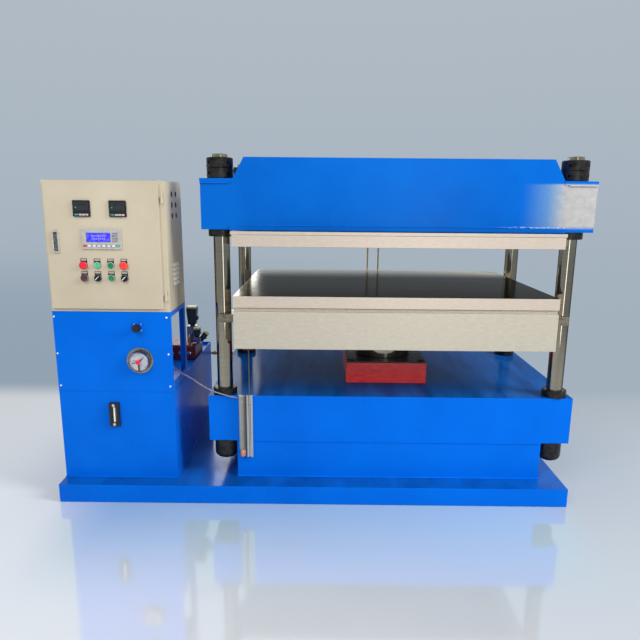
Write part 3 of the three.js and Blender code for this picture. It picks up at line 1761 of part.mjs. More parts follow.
// Plate inside the box with contactors, a breaker and the terminal strip on it
function makeEquipment() {
  const left = unitLeft + equipmentInset;
  const right = unitRight - equipmentInset;
  const bottom = boxBottom + equipmentInset;
  const top = boxTop - equipmentInset;
  const back = boxBack - boxWall - equipmentStandoff;
  const front = back - equipmentThickness;
  const plate = block(left, right, front, back, bottom, top);
  const posts = [];
  for (const x of [left + equipmentInset, right - equipmentInset]) {
    for (const z of [bottom + equipmentInset, top - equipmentInset]) {
      posts.push(spigot(standoffRadius, x, z, back - overrun / 2, boxBack - boxWall - seatGap, tinySides));
    }
  }
  const gear = [];
  for (let i = 0; i < contactorCount; i += 1) {
    const start = left + equipmentInset + i * contactorPitch;
    const high = top - contactorDrop;
    gear.push(block(
      start, start + contactorWidth, front - contactorDepth,
      front + overrun / 2, high - contactorHeight, high,
    ));
  }
  gear.push(block(
    right - equipmentInset - breakerWidth, right - equipmentInset, front - breakerDepth, front + overrun / 2,
    top - contactorDrop - breakerHeight, top - contactorDrop,
  ));
  gear.push(block(
    left + equipmentInset, right - equipmentInset, front - terminalStripDepth, front + overrun / 2,
    bottom + terminalStripLift, bottom + terminalStripLift + terminalStripHeight,
  ));
  addPiece('equipment_plate', join(plate, ...posts, ...gear), 'greyAlloy');
}

// Slotted rail for the limit switches: a round-backed channel beside a grooved bar, and a cable gland
function makeSwitchRail() {
  const left = -bedHalfWidth + railInset;
  const right = left + railWidth;
  const back = -bedHalfDepth - seatGap;
  const top = bedTop + railProud;
  const bottom = top - railLength;
  const front = back - railDepth;
  const rounding = railWidth / 2;
  const shape = new THREE.Shape();
  shape.moveTo(left, back);
  shape.lineTo(left, front + rounding);
  shape.absarc(left + rounding, front + rounding, rounding, Math.PI, Math.PI * 2);
  shape.lineTo(right, back);
  const channel = extrudedUp(shape, bottom, top);
  const slot = block(
    right - railWall - railWall, right + overrun, front + railDepth / 2,
    back - railWall, bottom - overrun, top + overrun,
  );
  const barLeft = right + railGap;
  const barRight = barLeft + barWidth;
  const barBottom = top - barLength;
  const bar = block(barLeft, barRight, back - barThickness, back, barBottom, top);
  const web = block(left, barRight, back - railBackThickness, back, bottom, top);
  const rodX = (barLeft + barRight) / 2;
  const groove = block(
    rodX - barSlotWidth / 2, rodX + barSlotWidth / 2, back - barThickness - overrun,
    back - barThickness + barSlotDepth, barBottom - overrun, top + overrun,
  );
  const gland = post(
    railGlandRadius, left + rounding, back - railGlandRadius - seatGap,
    bottom - railGlandHeight, bottom + overrun, smallSides,
  );
  addPiece('switch_rail', join(cut(join(channel, bar), slot, groove), web, gland), 'greyAlloy');

  const rodY = back - barThickness + barSlotDepth / 2;
  const rodBottom = bedTop - rodEngagement;
  const rod = post(rodRadius, rodX, rodY, rodBottom, bolsterBottom - bracketHeight / 2, switchCableSides);
  const bracket = block(
    rodX - bracketWidth / 2, rodX + bracketWidth / 2, rodY - bracketDepth / 2, rodY + bracketDepth,
    bolsterBottom - seatGap - bracketHeight, bolsterBottom - seatGap,
  );
  addPiece('switch_rod', join(rod, bracket), 'darkRed');
}

// Signal cable: out of a gland under the control box, through the side of the frame and in
// front of the bed to the rail
function makeSwitchCable() {
  const gland = switchGlandPlace();
  const start = new THREE.Vector3(gland.x, gland.y, boxBottom - switchGlandLength - seatGap);
  const end = new THREE.Vector3(
    -bedHalfWidth + railInset - runningGap - seatGap,
    -bedHalfDepth - switchCableRadius - runningGap,
    bedTop - switchCableDrop,
  );
  const way = end.clone().sub(start);
  const between = switchCableShares.map((shares) => new THREE.Vector3(...shares).multiply(way).add(start));
  const route = looseRoute([start, ...between, end], switchCableSteps);
  addPiece('limit_switch_cable', tube(route, switchCableRadius, switchCableSides), 'cableGrey');
}

// Heater leads of the moving plate: down from the crosshead, round a free loop and up into the
// plate's terminal boxes
function makeHeaterCables() {
  const names = ['heater_cable_left', 'heater_cable_right'];
  const glandLevel = crossheadBottom + heaterGlandHeight;
  const boxBottomLevel = lowerPlateBottom + (lowerPlateThickness - terminalHeight) / 2;
  const behind = platenHalfDepth + terminalDepth / 2;
  const low = boxBottomLevel - heaterLoopDrop;
  heaterCableOffsets.forEach((x, i) => {
    const leg = heaterLegPlace(x);
    const corners = [
      new THREE.Vector3(x, crossheadHalfDepth + glandReach + seatGap, glandLevel),
      new THREE.Vector3(x, behind, glandLevel),
      new THREE.Vector3(x, behind, low),
      new THREE.Vector3(leg, behind, low),
      new THREE.Vector3(leg, behind, boxBottomLevel - seatGap),
    ];
    const route = bentRoute(corners, heaterCableBend);
    addPiece(names[i], tube(route, heaterCableRadius, heaterCableSides), 'cableGrey');
  });
}

// A lead comes up one loop's width further out than it goes down
function heaterLegPlace(x) {
  return x + Math.sign(x) * (heaterCableBend + heaterCableBend);
}

makeBase();
makeTable();
makeColumns();
makeCrosshead();
makePlatens();
makeCylinder();
makeTank();
makeUnitFrame();
makeMotor();
makePump();
makeValves();
makePipe();
makeBreather();
makeRegulator();
makeGauge();
makeLevelGauge();
makeBox();
makeDoor();
makeInstruments();
makeButtons();
makeEquipment();
makeSwitchRail();
makeSwitchCable();
makeHeaterCables();

export default press;
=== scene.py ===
"""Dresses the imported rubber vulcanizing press: finishes, fasteners, instruments, cords, light and camera."""

import json
import math

import bmesh
import bpy
from mathutils import Matrix, Vector

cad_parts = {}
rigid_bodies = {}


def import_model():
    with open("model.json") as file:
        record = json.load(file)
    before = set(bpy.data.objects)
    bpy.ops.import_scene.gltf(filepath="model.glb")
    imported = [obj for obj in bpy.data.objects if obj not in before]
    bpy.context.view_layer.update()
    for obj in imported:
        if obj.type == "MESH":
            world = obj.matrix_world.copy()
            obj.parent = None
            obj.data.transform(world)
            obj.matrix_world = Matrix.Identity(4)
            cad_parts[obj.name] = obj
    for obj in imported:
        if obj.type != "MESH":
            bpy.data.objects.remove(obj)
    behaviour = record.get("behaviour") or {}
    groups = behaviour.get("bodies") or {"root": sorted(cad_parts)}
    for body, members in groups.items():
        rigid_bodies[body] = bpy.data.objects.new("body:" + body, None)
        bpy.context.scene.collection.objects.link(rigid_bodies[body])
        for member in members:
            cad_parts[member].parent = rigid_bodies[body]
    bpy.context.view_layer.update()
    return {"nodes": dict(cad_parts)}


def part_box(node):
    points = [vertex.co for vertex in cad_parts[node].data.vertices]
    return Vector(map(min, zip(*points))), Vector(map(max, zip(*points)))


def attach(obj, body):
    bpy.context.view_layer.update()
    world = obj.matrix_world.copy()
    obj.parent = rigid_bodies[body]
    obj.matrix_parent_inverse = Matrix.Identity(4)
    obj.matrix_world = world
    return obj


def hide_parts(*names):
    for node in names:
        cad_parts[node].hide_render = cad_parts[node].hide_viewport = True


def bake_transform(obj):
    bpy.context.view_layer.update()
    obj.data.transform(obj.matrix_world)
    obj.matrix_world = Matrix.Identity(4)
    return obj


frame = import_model()

MM = 0.001
PRESS_X = 325  # the press's own centre line in the row frame, mm
FRAME, PLATEN, DOOR = "machine_frame", "moving_platen", "box_door"


def place(x, y, z):
    """A point given in millimetres from the press's centre line, in metres in the row frame."""
    return Vector(((x + PRESS_X) * MM, y * MM, z * MM))


def corners(node):
    """The lowest and the highest corner of a CAD node, in millimetres from the press's centre line."""
    return [(round(p.x / MM - PRESS_X, 1), round(p.y / MM, 1), round(p.z / MM, 1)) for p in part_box(node)]


def linear(code):
    """An sRGB hex colour as the linear RGBA that a shader socket takes."""
    parts = [int(code[i:i + 2], 16) / 255 for i in (1, 3, 5)]
    return (*[c / 12.92 if c <= 0.04045 else ((c + 0.055) / 1.055) ** 2.4 for c in parts], 1.0)


def add(tree, kind, settings=None, links=None):
    """Adds one node: settings go to its sockets by name or number, or else to its properties."""
    node = tree.nodes.new(kind)
    for key, value in (settings or {}).items():
        if isinstance(key, int) or key in node.inputs:
            node.inputs[key].default_value = value
        else:
            setattr(node, key, value)
    for key, source in (links or {}).items():
        tree.links.new(source, node.inputs[key])
    return node


# Materials

materials = {}


def surface(name, **sockets):
    """A material with one Principled shader; its uniform values are set on the shader's sockets."""
    material = bpy.data.materials.new(name)
    material.use_nodes = True
    tree = material.node_tree
    tree.nodes.clear()
    shader = add(tree, "ShaderNodeBsdfPrincipled", {k.replace("_", " "): v for k, v in sockets.items()})
    add(tree, "ShaderNodeOutputMaterial", None, {"Surface": shader.outputs[0]})
    return material, tree, shader


def blended(tree, factor, first, second):
    """A colour between two: each is a hex code or another node's colour."""
    node = add(tree, "ShaderNodeMix", {"data_type": "RGBA"}, {0: factor})
    for number, colour in ((6, first), (7, second)):
        if isinstance(colour, str):
            node.inputs[number].default_value = linear(colour)
        else:
            tree.links.new(colour, node.inputs[number])
    return node.outputs[2]


def product(tree, first, *others):
    """Several shares multiplied together."""
    for other in others:
        first = add(tree, "ShaderNodeMath", {"operation": "MULTIPLY"}, {0: first, 1: other}).outputs[0]
    return first


def noise_at(tree, spot, size, stretch=(1, 1, 1), **sockets):
    """Noise whose grain has a real size in metres, stretched along the axes."""
    mapping = add(tree, "ShaderNodeMapping", {"Scale": stretch}, {"Vector": spot})
    noise = add(tree, "ShaderNodeTexNoise", {"Scale": 1 / size, **sockets}, {"Vector": mapping.outputs[0]})
    return noise.outputs["Fac"]


def mottle(tree, shader, dark, light, size, rough, stretch=(1, 1, 1), contrast=(0.35, 0.65), detail=3):
    """Colour and roughness that vary together over patches of a real size in metres."""
    spot = add(tree, "ShaderNodeTexCoord").outputs["Object"]
    noise = noise_at(tree, spot, size, stretch, Detail=detail, Roughness=0.6)
    limits = {"From Min": contrast[0], "From Max": contrast[1]}
    share = add(tree, "ShaderNodeMapRange", limits, {"Value": noise}).outputs[0]
    tone = blended(tree, share, dark, light)
    tree.links.new(tone, shader.inputs["Base Color"])
    gloss = add(tree, "ShaderNodeMapRange", {"To Min": rough[0], "To Max": rough[1]}, {"Value": share})
    tree.links.new(gloss.outputs[0], shader.inputs["Roughness"])
    return spot, tone


def relief(tree, shader, spot, size, depth, stretch=(1, 1, 1), detail=2):
    """A bumpy surface: the grain's real size and depth are in metres."""
    height = noise_at(tree, spot, size, stretch, Detail=detail)
    bump = add(tree, "ShaderNodeBump", {"Distance": depth, "Strength": 1.0}, {"Height": height})
    tree.links.new(bump.outputs[0], shader.inputs["Normal"])


def finish(key, name, dark, light, size, rough, *patches, grain=None, **sockets):
    """A material of two tones; patches go on to the mottle, and grain gives the relief's size and depth."""
    materials[key], tree, shader = surface(name, **sockets)
    spot, tone = mottle(tree, shader, dark, light, size, rough, *patches)
    if grain:
        relief(tree, shader, spot, *grain)
    return tree, shader, spot, tone


# Gloss enamel sprayed on welded plate: level colour with slow waves of the steel and fine orange peel
WAVES, ENAMEL_GLOSS, ORANGE_PEEL = 0.45, (0.24, 0.34), (0.006, 0.00005)
finish("blue_enamel", "blue_enamel_sprayed", "#0062d2", "#006add", WAVES, ENAMEL_GLOSS,
       grain=ORANGE_PEEL, IOR=1.5, Specular_IOR_Level=0.06)

# The crosshead's front face, the top of its bottom flange, its end plates' top and half its girder, mm
CROSSHEAD_FACE, LIP_TOP, END_TOP, GIRDER_HALF = -420, 1217, 1407, 696


def enamel_with_painted_glare():
    """The crosshead's enamel, with a pale mottled glare painted on at its right front end that fades in, and a
    painted highlight along the top of its bottom flange there.
    """
    tree, shader, spot, tone = finish(
        "blue_enamel_painted_glare", "blue_enamel_glare_painted_on", "#0359b6", "#0463c2", WAVES, ENAMEL_GLOSS,
        grain=ORANGE_PEEL, IOR=1.5, Specular_IOR_Level=0.06)
    axes = add(tree, "ShaderNodeSeparateXYZ", None, {0: spot}).outputs

    def ease(axis, low, high, most=1.0):
        """Rises from none to the most between two places on an axis, in mm of the row frame."""
        limits = {"From Min": low * MM, "From Max": high * MM, "To Max": most}
        limits["interpolation_type"] = "SMOOTHSTEP"
        return add(tree, "ShaderNodeMapRange", limits, {"Value": axes[axis]}).outputs[0]

    def speckle(size, low, high, least, most):
        """Noise of a real size in mm, spread between two shares."""
        noise = noise_at(tree, spot, size * MM, Detail=8, Roughness=0.7)
        limits = {"From Min": low, "From Max": high, "To Min": least, "To Max": most}
        return add(tree, "ShaderNodeMapRange", limits, {"Value": noise}).outputs[0]

    end = PRESS_X + GIRDER_HALF
    # Painted glare: towards the right end the front face's enamel turns pale, hazy and mottled
    face = ease("Y", CROSSHEAD_FACE + 6, CROSSHEAD_FACE + 2)
    front = product(tree, face, ease("Z", LIP_TOP - 8, LIP_TOP + 12), ease("Z", END_TOP - 8, END_TOP - 18))
    thin = product(tree, front, ease("X", end - 200, end - 30, 0.85), speckle(9, 0.35, 0.65, 0.82, 1.06))
    glare_haze = blended(tree, thin, tone, "#6a90ae")
    glare_core = product(tree, front, ease("X", end - 90, end + 8, 0.97), speckle(22, 0.3, 0.7, 0.86, 1.02))
    glare_tone = blended(tree, speckle(30, 0.35, 0.65, 0, 1), "#9f9c9a", "#b4afa8")
    glared = blended(tree, glare_core, glare_haze, glare_tone)
    along = product(tree, ease("X", end - 300, end - 120), ease("X", end + 2, end - 8))
    # Painted highlight: a pale speckled line on the front face at the bottom flange's top, near the right end
    lip_highlight = product(tree, face, ease("Z", LIP_TOP - 2, LIP_TOP + 1), ease("Z", LIP_TOP + 7, LIP_TOP + 3), along,
                  speckle(10, 0.48, 0.56, 0, 0.75))
    tree.links.new(blended(tree, lip_highlight, glared, "#c4ccd6"), shader.inputs["Base Color"])


enamel_with_painted_glare()

# The same enamel on the flat top plates, painted darker as shade and with longer soft glints
finish("blue_enamel_deck_shaded", "blue_enamel_deck_shaded", "#05448f", "#0756ac", 0.12, (0.1, 0.2), (1, 0.5, 1),
       grain=(0.05, 0.0004), IOR=1.5, Specular_IOR_Level=0.22)

# The same on the bed's flat top: painted dark blue as shade, with lighter streaks painted on as reflections
finish("blue_enamel_table_shaded", "table_top_enamel_painted_shade_and_reflections", "#073a78", "#0f57a4", 0.16, (0.1, 0.2), (2.4, 0.35, 1),
       (0.3, 0.75), grain=(0.05, 0.0004), IOR=1.5, Specular_IOR_Level=0.015)

# Powder coat baked on sheet steel: satin, with a close pebbled grain drawn at 2 mm so that it shows
finish("beige_powder", "beige_powder_coat", "#bdb19a", "#c6baa4", 0.3, (0.4, 0.5),
       grain=(0.002, 0.00003), IOR=1.5)

# The same coat on the pressed louvres, painted pale as a highlight on them
finish("louvre_painted_highlight", "beige_powder_coat_painted_highlight", "#e3dccb", "#f3ede0", 0.01, (0.35, 0.45), IOR=1.5)

# Alkyd paint brushed over a machined block: warm red, a little uneven where the brush stopped
finish("red_alkyd", "red_alkyd_brushed", "#e02a30", "#f24340", 0.05, (0.3, 0.45), (1, 1, 3),
       grain=(0.004, 0.00008, (1, 1, 6)), IOR=1.5)

# Dark oxide red on the cast valve block and the switch bracket
finish("oxide_red", "oxide_red_paint", "#571217", "#7d2220", 0.03, (0.35, 0.5),
       grain=(0.003, 0.0001), IOR=1.5)

# Hard chrome on a ground shaft: near mirror, with the grinding rings left as faint close bands
finish("hard_chrome", "hard_chrome_ground", "#938a7b", "#ada492", 0.006, (0.06, 0.12), (0.02, 0.02, 1),
       (0.1, 0.9), Metallic=1.0, Specular_Tint=linear("#4a4743"))

# Black phosphate on turned steel: deep brown black, a soft sheen and lathe lines round the part
finish("black_phosphate", "black_phosphate_turned", "#2a2826", "#454240", 0.02, (0.3, 0.45),
       grain=(0.0015, 0.00004, (0.1, 0.1, 1)), Metallic=0.85)

# Oiled turned steel of the stud ends: brassy grey, bright where the tool faced it
finish("oiled_steel", "oiled_steel_faced", "#8d8566", "#c4bc9c", 0.02, (0.25, 0.4), Metallic=1.0)

# Milled steel sides of the heating plates: pale, warm, with long cutter marks along the edge
finish("milled_steel", "milled_steel_oiled", "#c6b7a8", "#d6c7b8", 0.008, (0.36, 0.5), (0.3, 0.3, 1.2),
       (0.25, 0.75), 6, grain=(0.003, 0.00006, (1, 1, 0.15), 4), Metallic=0.35)

# The pale reflection painted on the working faces begins and ends so far back, m, and so far to the left, mm
REAR_REFLECTION, LEFT_REFLECTION = (0.12, 0.43), (-600, -690)


def ground_face():
    """Surface-ground working faces: streaky, glossy, dark with oil, with a pale reflection painted on at the
    rear and left.
    """
    tree, shader, spot, tone = finish(
        "ground_face", "ground_steel_face", "#4c4943", "#6b665a", 0.05, (0.12, 0.24), (0.06, 1.0, 1),
        (0.25, 0.75), grain=(0.003, 0.00002, (0.05, 1, 1)), Metallic=1.0, Specular_Tint=linear("#8f8c88"))
    axes = add(tree, "ShaderNodeSeparateXYZ", None, {0: spot}).outputs
    reflection_bands = []
    for axis, (low, high) in (("Y", REAR_REFLECTION), ("X", [(PRESS_X + x) * MM for x in LEFT_REFLECTION])):
        limits = {"interpolation_type": "SMOOTHSTEP", "From Min": low, "From Max": high}
        reflection_bands.append(add(tree, "ShaderNodeMapRange", limits, {"Value": axes[axis]}).outputs[0])
    painted_reflection = add(tree, "ShaderNodeMath", {"operation": "MAXIMUM"}, {0: reflection_bands[0], 1: reflection_bands[1]}).outputs[0]
    # Painted reflection: paler and less metallic towards the rear and the left rim
    tree.links.new(blended(tree, painted_reflection, tone, "#dccfae"), shader.inputs["Base Color"])
    metal = add(tree, "ShaderNodeMapRange", {"To Min": 1.0, "To Max": 0.15}, {"Value": painted_reflection})
    tree.links.new(metal.outputs[0], shader.inputs["Metallic"])


ground_face()

# Machined cast plate of the moving table: greenish grey, brushed level by hand
finish("machined_cast", "machined_cast_brushed", "#bab2a1", "#cbc3b2", 0.012, (0.38, 0.52), (0.4, 0.4, 1.2),
       (0.25, 0.75), 6, grain=(0.003, 0.00007, (0.5, 0.5, 1), 5), Metallic=0.3)

# The same casting on the guide lugs, left dark with oil from the columns
finish("oiled_cast", "machined_cast_oiled", "#6b6459", "#8f8677", 0.02, (0.25, 0.4), (1, 1, 2), Metallic=0.5)

# Pressed insulating board of fibre and cement: matt, pale brown, flecked with short fibres
finish("fibre_board", "fibre_cement_board", "#9b8f7e", "#c2b6a4", 0.006, (0.75, 0.9), (1, 1, 2),
       grain=(0.0015, 0.0001), IOR=1.45)

# Grey iron casting of the pump and regulator: dark, sandy skin
finish("cast_iron", "cast_iron_skin", "#2b2d30", "#484a4c", 0.012, (0.5, 0.7),
       grain=(0.002, 0.0002), Metallic=0.4)

# Baked motor enamel over a sand casting: almost black, slightly green
finish("motor_enamel", "motor_enamel_black", "#191d1f", "#2b3033", 0.02, (0.35, 0.5), grain=(0.003, 0.00015),
       IOR=1.5)

# Mill-finish aluminium extrusion: dull silver, drawn lines along its length
DRAWN = {"grain": (0.001, 0.00003, (1, 1, 0.02)), "Metallic": 0.45}
finish("drawn_alloy", "drawn_aluminium", "#aeb0b2", "#cfd0d0", 0.006, (0.35, 0.48), (1, 1, 0.03), **DRAWN)

# Where the painted shade on the extrusion darkens towards the bar, the bar's left side and the bed's top, mm
SHADE_CORNER, BAR_LEFT, ROD_OPEN = (-668, -646), -639, 474


def alloy_with_painted_shade():
    """The same extrusion, with painted shade in the corner beside the bar, and darker on the open rod above
    the bed's top.
    """
    tree, shader, spot, tone = finish(
        "alloy_with_painted_shade", "drawn_aluminium_painted_shade", "#b2afa6", "#c8c5bc", 0.006, (0.35, 0.48), (1, 1, 0.03),
        **DRAWN)
    axes = add(tree, "ShaderNodeSeparateXYZ", None, {0: spot}).outputs
    start, end, bar_left = [(PRESS_X + x) * MM for x in (*SHADE_CORNER, BAR_LEFT)]
    # Painted shade: darker across the channel towards the bar
    corner = add(tree, "ShaderNodeMapRange", {"From Min": start, "From Max": end}, {"Value": axes["X"]})
    before_bar = add(tree, "ShaderNodeMath", {"operation": "LESS_THAN", 1: bar_left}, {0: axes["X"]})
    open_rod = add(tree, "ShaderNodeMath", {"operation": "GREATER_THAN", 1: ROD_OPEN * MM}, {0: axes["Z"]})
    channel_shade = product(tree, corner.outputs[0], before_bar.outputs[0])
    darkening = add(tree, "ShaderNodeMath", {"operation": "MAXIMUM"}, {0: channel_shade, 1: open_rod.outputs[0]})
    tree.links.new(blended(tree, darkening.outputs[0], tone, "#605e5a"), shader.inputs["Base Color"])


alloy_with_painted_shade()

# Zinc-plated sheet: cool silver with the spangle of the bath
finish("zinc_sheet", "zinc_plated_sheet", "#8f9294", "#c5c8c9", 0.012, (0.3, 0.5), Metallic=0.9)

# Yellow passivated zinc on pipe and fittings: straw with a faint rainbow drift
finish("yellow_zinc", "yellow_zinc_plated", "#a87a2a", "#d6ab58", 0.015, (0.25, 0.4), Metallic=0.9)

# Bright nickel plate on screws and bolts: clean, slightly warm mirror
finish("bright_nickel", "bright_nickel_plate", "#c9c7c2", "#e4e2dd", 0.01, (0.12, 0.22), Metallic=1.0)

# Black chrome on bezels and button rings: dark, warm mirror
finish("dark_chrome", "black_chrome_bezel", "#7a766f", "#a8a39a", 0.01, (0.1, 0.2), Metallic=1.0)

# Die-cast zinc of the flush lock, tumbled and clear lacquered: pale satin
finish("satin_zinc", "zinc_die_cast_satin", "#b5b0a6", "#d9d4ca", 0.01, (0.3, 0.42), Metallic=0.35)

# Phenolic and ABS mouldings: even colour, a fine spark-eroded texture drawn at half a millimetre
for key, dark, light, gloss in (
    ("black_abs", "#141517", "#202124", (0.35, 0.48)),
    ("dark_green_abs", "#22323a", "#30434c", (0.35, 0.48)),
    ("grey_abs", "#a9a5a0", "#b8b4af", (0.4, 0.5)),
    ("cream_abs", "#cfc997", "#e4deb0", (0.4, 0.5)),
    ("white_abs", "#dedcd6", "#ebe9e4", (0.4, 0.5)),
    ("teal_abs", "#2f7f86", "#3f939a", (0.35, 0.45)),
    ("pale_rose_abs", "#b7a7a2", "#c9bab4", (0.35, 0.45)),
    ("blue_abs", "#2440a0", "#3b5fd0", (0.3, 0.4)),
    ("slate_abs", "#75777f", "#8a8c94", (0.3, 0.4)),
    ("red_abs", "#e01a30", "#ee2740", (0.22, 0.3)),
    ("orange_red_abs", "#e8392f", "#f2503f", (0.22, 0.3)),
    ("green_abs", "#0f7044", "#188a55", (0.22, 0.3)),
    ("mint_abs", "#2fb777", "#45cb8b", (0.22, 0.3)),
):
    finish(key, f"{key}_moulded", dark, light, 0.01, gloss, grain=(0.0005, 0.00001), IOR=1.46)

# Lamp lens of unlit maroon acrylic: dark and glossy, with moulded facets inside
ACRYLIC = {"IOR": 1.49, "Coat_Weight": 1.0}
finish("maroon_lens", "maroon_acrylic_lens", "#351114", "#5b2324", 0.002, (0.15, 0.25), **ACRYLIC,
       Coat_Roughness=0.05)

# Backlit blue liquid-crystal window behind acrylic: it glows a little, brighter in bands
tree, shader, _, tone = finish(
    "blue_display", "blue_display_backlit", "#2a1cf0", "#4a44fa", 0.012, (0.2, 0.3), (1, 1, 0.7),
    (0.4, 0.6), 1, **ACRYLIC, Coat_Roughness=0.05, Emission_Strength=0.7)
tree.links.new(tone, shader.inputs["Emission Color"])

# Its lit characters: paler, with a weaker glow of their own
tree, shader, _, tone = finish(
    "pale_display", "display_segment_pale", "#6a6cf6", "#8d90fb", 0.003, (0.3, 0.4),
    IOR=1.46, Emission_Strength=0.3)
tree.links.new(tone, shader.inputs["Emission Color"])

# Smoked acrylic window of the controllers: nearly black, with a clear gloss over it
finish("smoked_window", "smoked_acrylic", "#15171a", "#1f2226", 0.02, (0.1, 0.16), **ACRYLIC,
       Coat_Roughness=0.04)

# Printed dial card: matt off-white with a faint lilac cast
finish("dial_card", "dial_card_matt", "#e6e0ee", "#f2eef8", 0.03, (0.6, 0.7), IOR=1.45)

# Grey print of the dial's scale and other marks
finish("grey_print", "grey_print", "#5f6270", "#7a7d8a", 0.01, (0.5, 0.6), IOR=1.45)


def window_glass():
    """Flat window glass: clear straight through, with a mirror glint that grows at a slant."""
    material = bpy.data.materials.new("clear_window_glass")
    material.use_nodes = True
    tree = material.node_tree
    tree.nodes.clear()
    clear = add(tree, "ShaderNodeBsdfTransparent", {"Color": linear("#fafcfc")})
    glint = add(tree, "ShaderNodeBsdfGlossy", {"Roughness": 0.03})
    slant = add(tree, "ShaderNodeLayerWeight", {"Blend": 0.12})
    mixed = add(tree, "ShaderNodeMixShader", None,
                {0: slant.outputs["Facing"], 1: clear.outputs[0], 2: glint.outputs[0]})
    add(tree, "ShaderNodeOutputMaterial", None, {"Surface": mixed.outputs[0]})
    return material


materials["gauge_glass"] = window_glass()

# Hydraulic oil in the sight tube: straw, clear
finish("sight_oil", "sight_tube_oil", "#e6e4da", "#f8f6f0", 0.02, (0.1, 0.15), (1, 1, 0.4), IOR=1.47)

# Extruded PVC sheath of the signal cable: dull grey, faintly ringed by the die
finish("grey_pvc", "grey_pvc_sheath", "#75737c", "#908e96", 0.01, (0.4, 0.5),
       grain=(0.001, 0.00002), IOR=1.52)

# Glass-fibre braid of the heater leads: pale cream threads with a soft sheen, drawn 2 mm wide
finish("glass_braid", "glass_fibre_braid", "#d3c49c", "#fff3d6", 0.003, (0.6, 0.8), (1, 1, 0.6), (0.4, 0.6),
       grain=(0.002, 0.0003), IOR=1.5, Sheen_Weight=0.3)

# Copper and brass: warm, dulled by handling
finish("copper", "copper_spun", "#d08358", "#f0b48c", 0.004, (0.25, 0.4), Metallic=0.6)
finish("brass", "brass_turned", "#a8873f", "#d9b96c", 0.004, (0.2, 0.35), Metallic=1.0)

# Neoprene of the dark digits: matt black that takes no glint
finish("black_rubber", "black_rubber_seal", "#141414", "#222222", 0.01, (0.6, 0.75), IOR=1.5)

# Shapes


def from_bmesh(name, work, *finishes, smooth=None, crisp=False):
    """An object at the origin from a bmesh, with its finishes in slot order and smooth up to an angle."""
    mesh = bpy.data.meshes.new(name)
    work.to_mesh(mesh)
    work.free()
    piece = bpy.data.objects.new(name, mesh)
    bpy.context.scene.collection.objects.link(piece)
    for key in finishes:
        mesh.materials.append(materials[key])
    if smooth:
        soften(piece, smooth)
    if crisp:
        level = piece.modifiers.new("level_faces", "WEIGHTED_NORMAL")
        level.keep_sharp = True
        level.weight = 100
        settled(piece)
    return piece


def soften(piece, degrees):
    """Smooth shading that keeps edges sharper than the angle."""
    mesh = piece.data
    mesh.polygons.foreach_set("use_smooth", [True] * len(mesh.polygons))
    work = bmesh.new()
    work.from_mesh(mesh)
    limit = math.radians(degrees)
    for edge in work.edges:
        edge.smooth = len(edge.link_faces) == 2 and edge.calc_face_angle(math.pi) < limit
    work.to_mesh(mesh)
    work.free()


def settled(piece):
    """Turns the piece and its modifiers into a plain mesh."""
    graph = bpy.context.evaluated_depsgraph_get()
    mesh = bpy.data.meshes.new_from_object(piece.evaluated_get(graph))
    piece.modifiers.clear()
    piece.data = mesh


def bevelled(work, width, segments=2):
    """Rounds the edges sharper than 30 degrees; the width is in mm."""
    limit = math.radians(30)
    edges = [e for e in work.edges if len(e.link_faces) == 2 and e.calc_face_angle(0) > limit]
    bmesh.ops.bevel(work, geom=edges, offset=width * MM, offset_type="OFFSET", segments=segments, profile=0.5,
                    affect="EDGES", clamp_overlap=True)


def block(low, high, width=0.0, segments=2):
    """A box between two corners in metres, as a bmesh, with rounded edges."""
    work = bmesh.new()
    bmesh.ops.create_cube(work, size=1)
    size = [b - a for a, b in zip(low, high)]
    middle = [(a + b) / 2 for a, b in zip(low, high)]
    for vert in work.verts:
        vert.co = Vector([vert.co[i] * size[i] + middle[i] for i in range(3)])
    if width:
        bevelled(work, width, segments)
    return work


TURNS = {
    "up": Matrix.Identity(3),
    "front": Matrix(((1, 0, 0), (0, 0, -1), (0, 1, 0))),
    "right": Matrix(((0, 0, 1), (0, 1, 0), (-1, 0, 0))),
    "back": Matrix(((-1, 0, 0), (0, 0, 1), (0, 1, 0))),
}


def turned(profile, centre, way="up", sides=48, bands=None):
    """A lathe form, as a bmesh: profile points are (radius, height) in mm, heights along the way it faces."""
    work = bmesh.new()
    rows = []
    for radius, height in profile:
        if radius < 1e-6:
            rows.append([work.verts.new((0, 0, height * MM))])
            continue
        angles = [math.tau * i / sides for i in range(sides)]
        rows.append([work.verts.new((radius * MM * math.cos(a), radius * MM * math.sin(a), height * MM))
                     for a in angles])
    for number, (a, b) in enumerate(zip(rows, rows[1:])):
        for i in range(sides):
            j = (i + 1) % sides
            if len(a) == 1:
                ring = [a[0], b[j], b[i]]
            elif len(b) == 1:
                ring = [a[i], a[j], b[0]]
            else:
                ring = [a[i], a[j], b[j], b[i]]
            face = work.faces.new(ring)
            if bands:
                face.material_index = bands[number]
    if profile[0] == profile[-1]:
        bmesh.ops.remove_doubles(work, verts=work.verts, dist=1e-7)
    bmesh.ops.recalc_face_normals(work, faces=work.faces)
    for vert in work.verts:
        vert.co = TURNS[way] @ vert.co + centre
    return work


def merged(*works):
    """Several bmeshes in one, each given with the number of its finish."""
    whole = bmesh.new()
    for number, work in works:
        for face in work.faces:
            face.material_index = number
        mesh = bpy.data.meshes.new("part")
        work.to_mesh(mesh)
        work.free()
        whole.from_mesh(mesh)
        bpy.data.meshes.remove(mesh)
    return whole


def spun(work, degrees, middle):
    """Turns a bmesh made about the origin round its depth axis and puts it at its middle, in mm."""
    spin = Matrix.Rotation(math.radians(degrees), 3, "Y")
    for vert in work.verts:
        vert.co = spin @ vert.co + place(*middle)
    return work


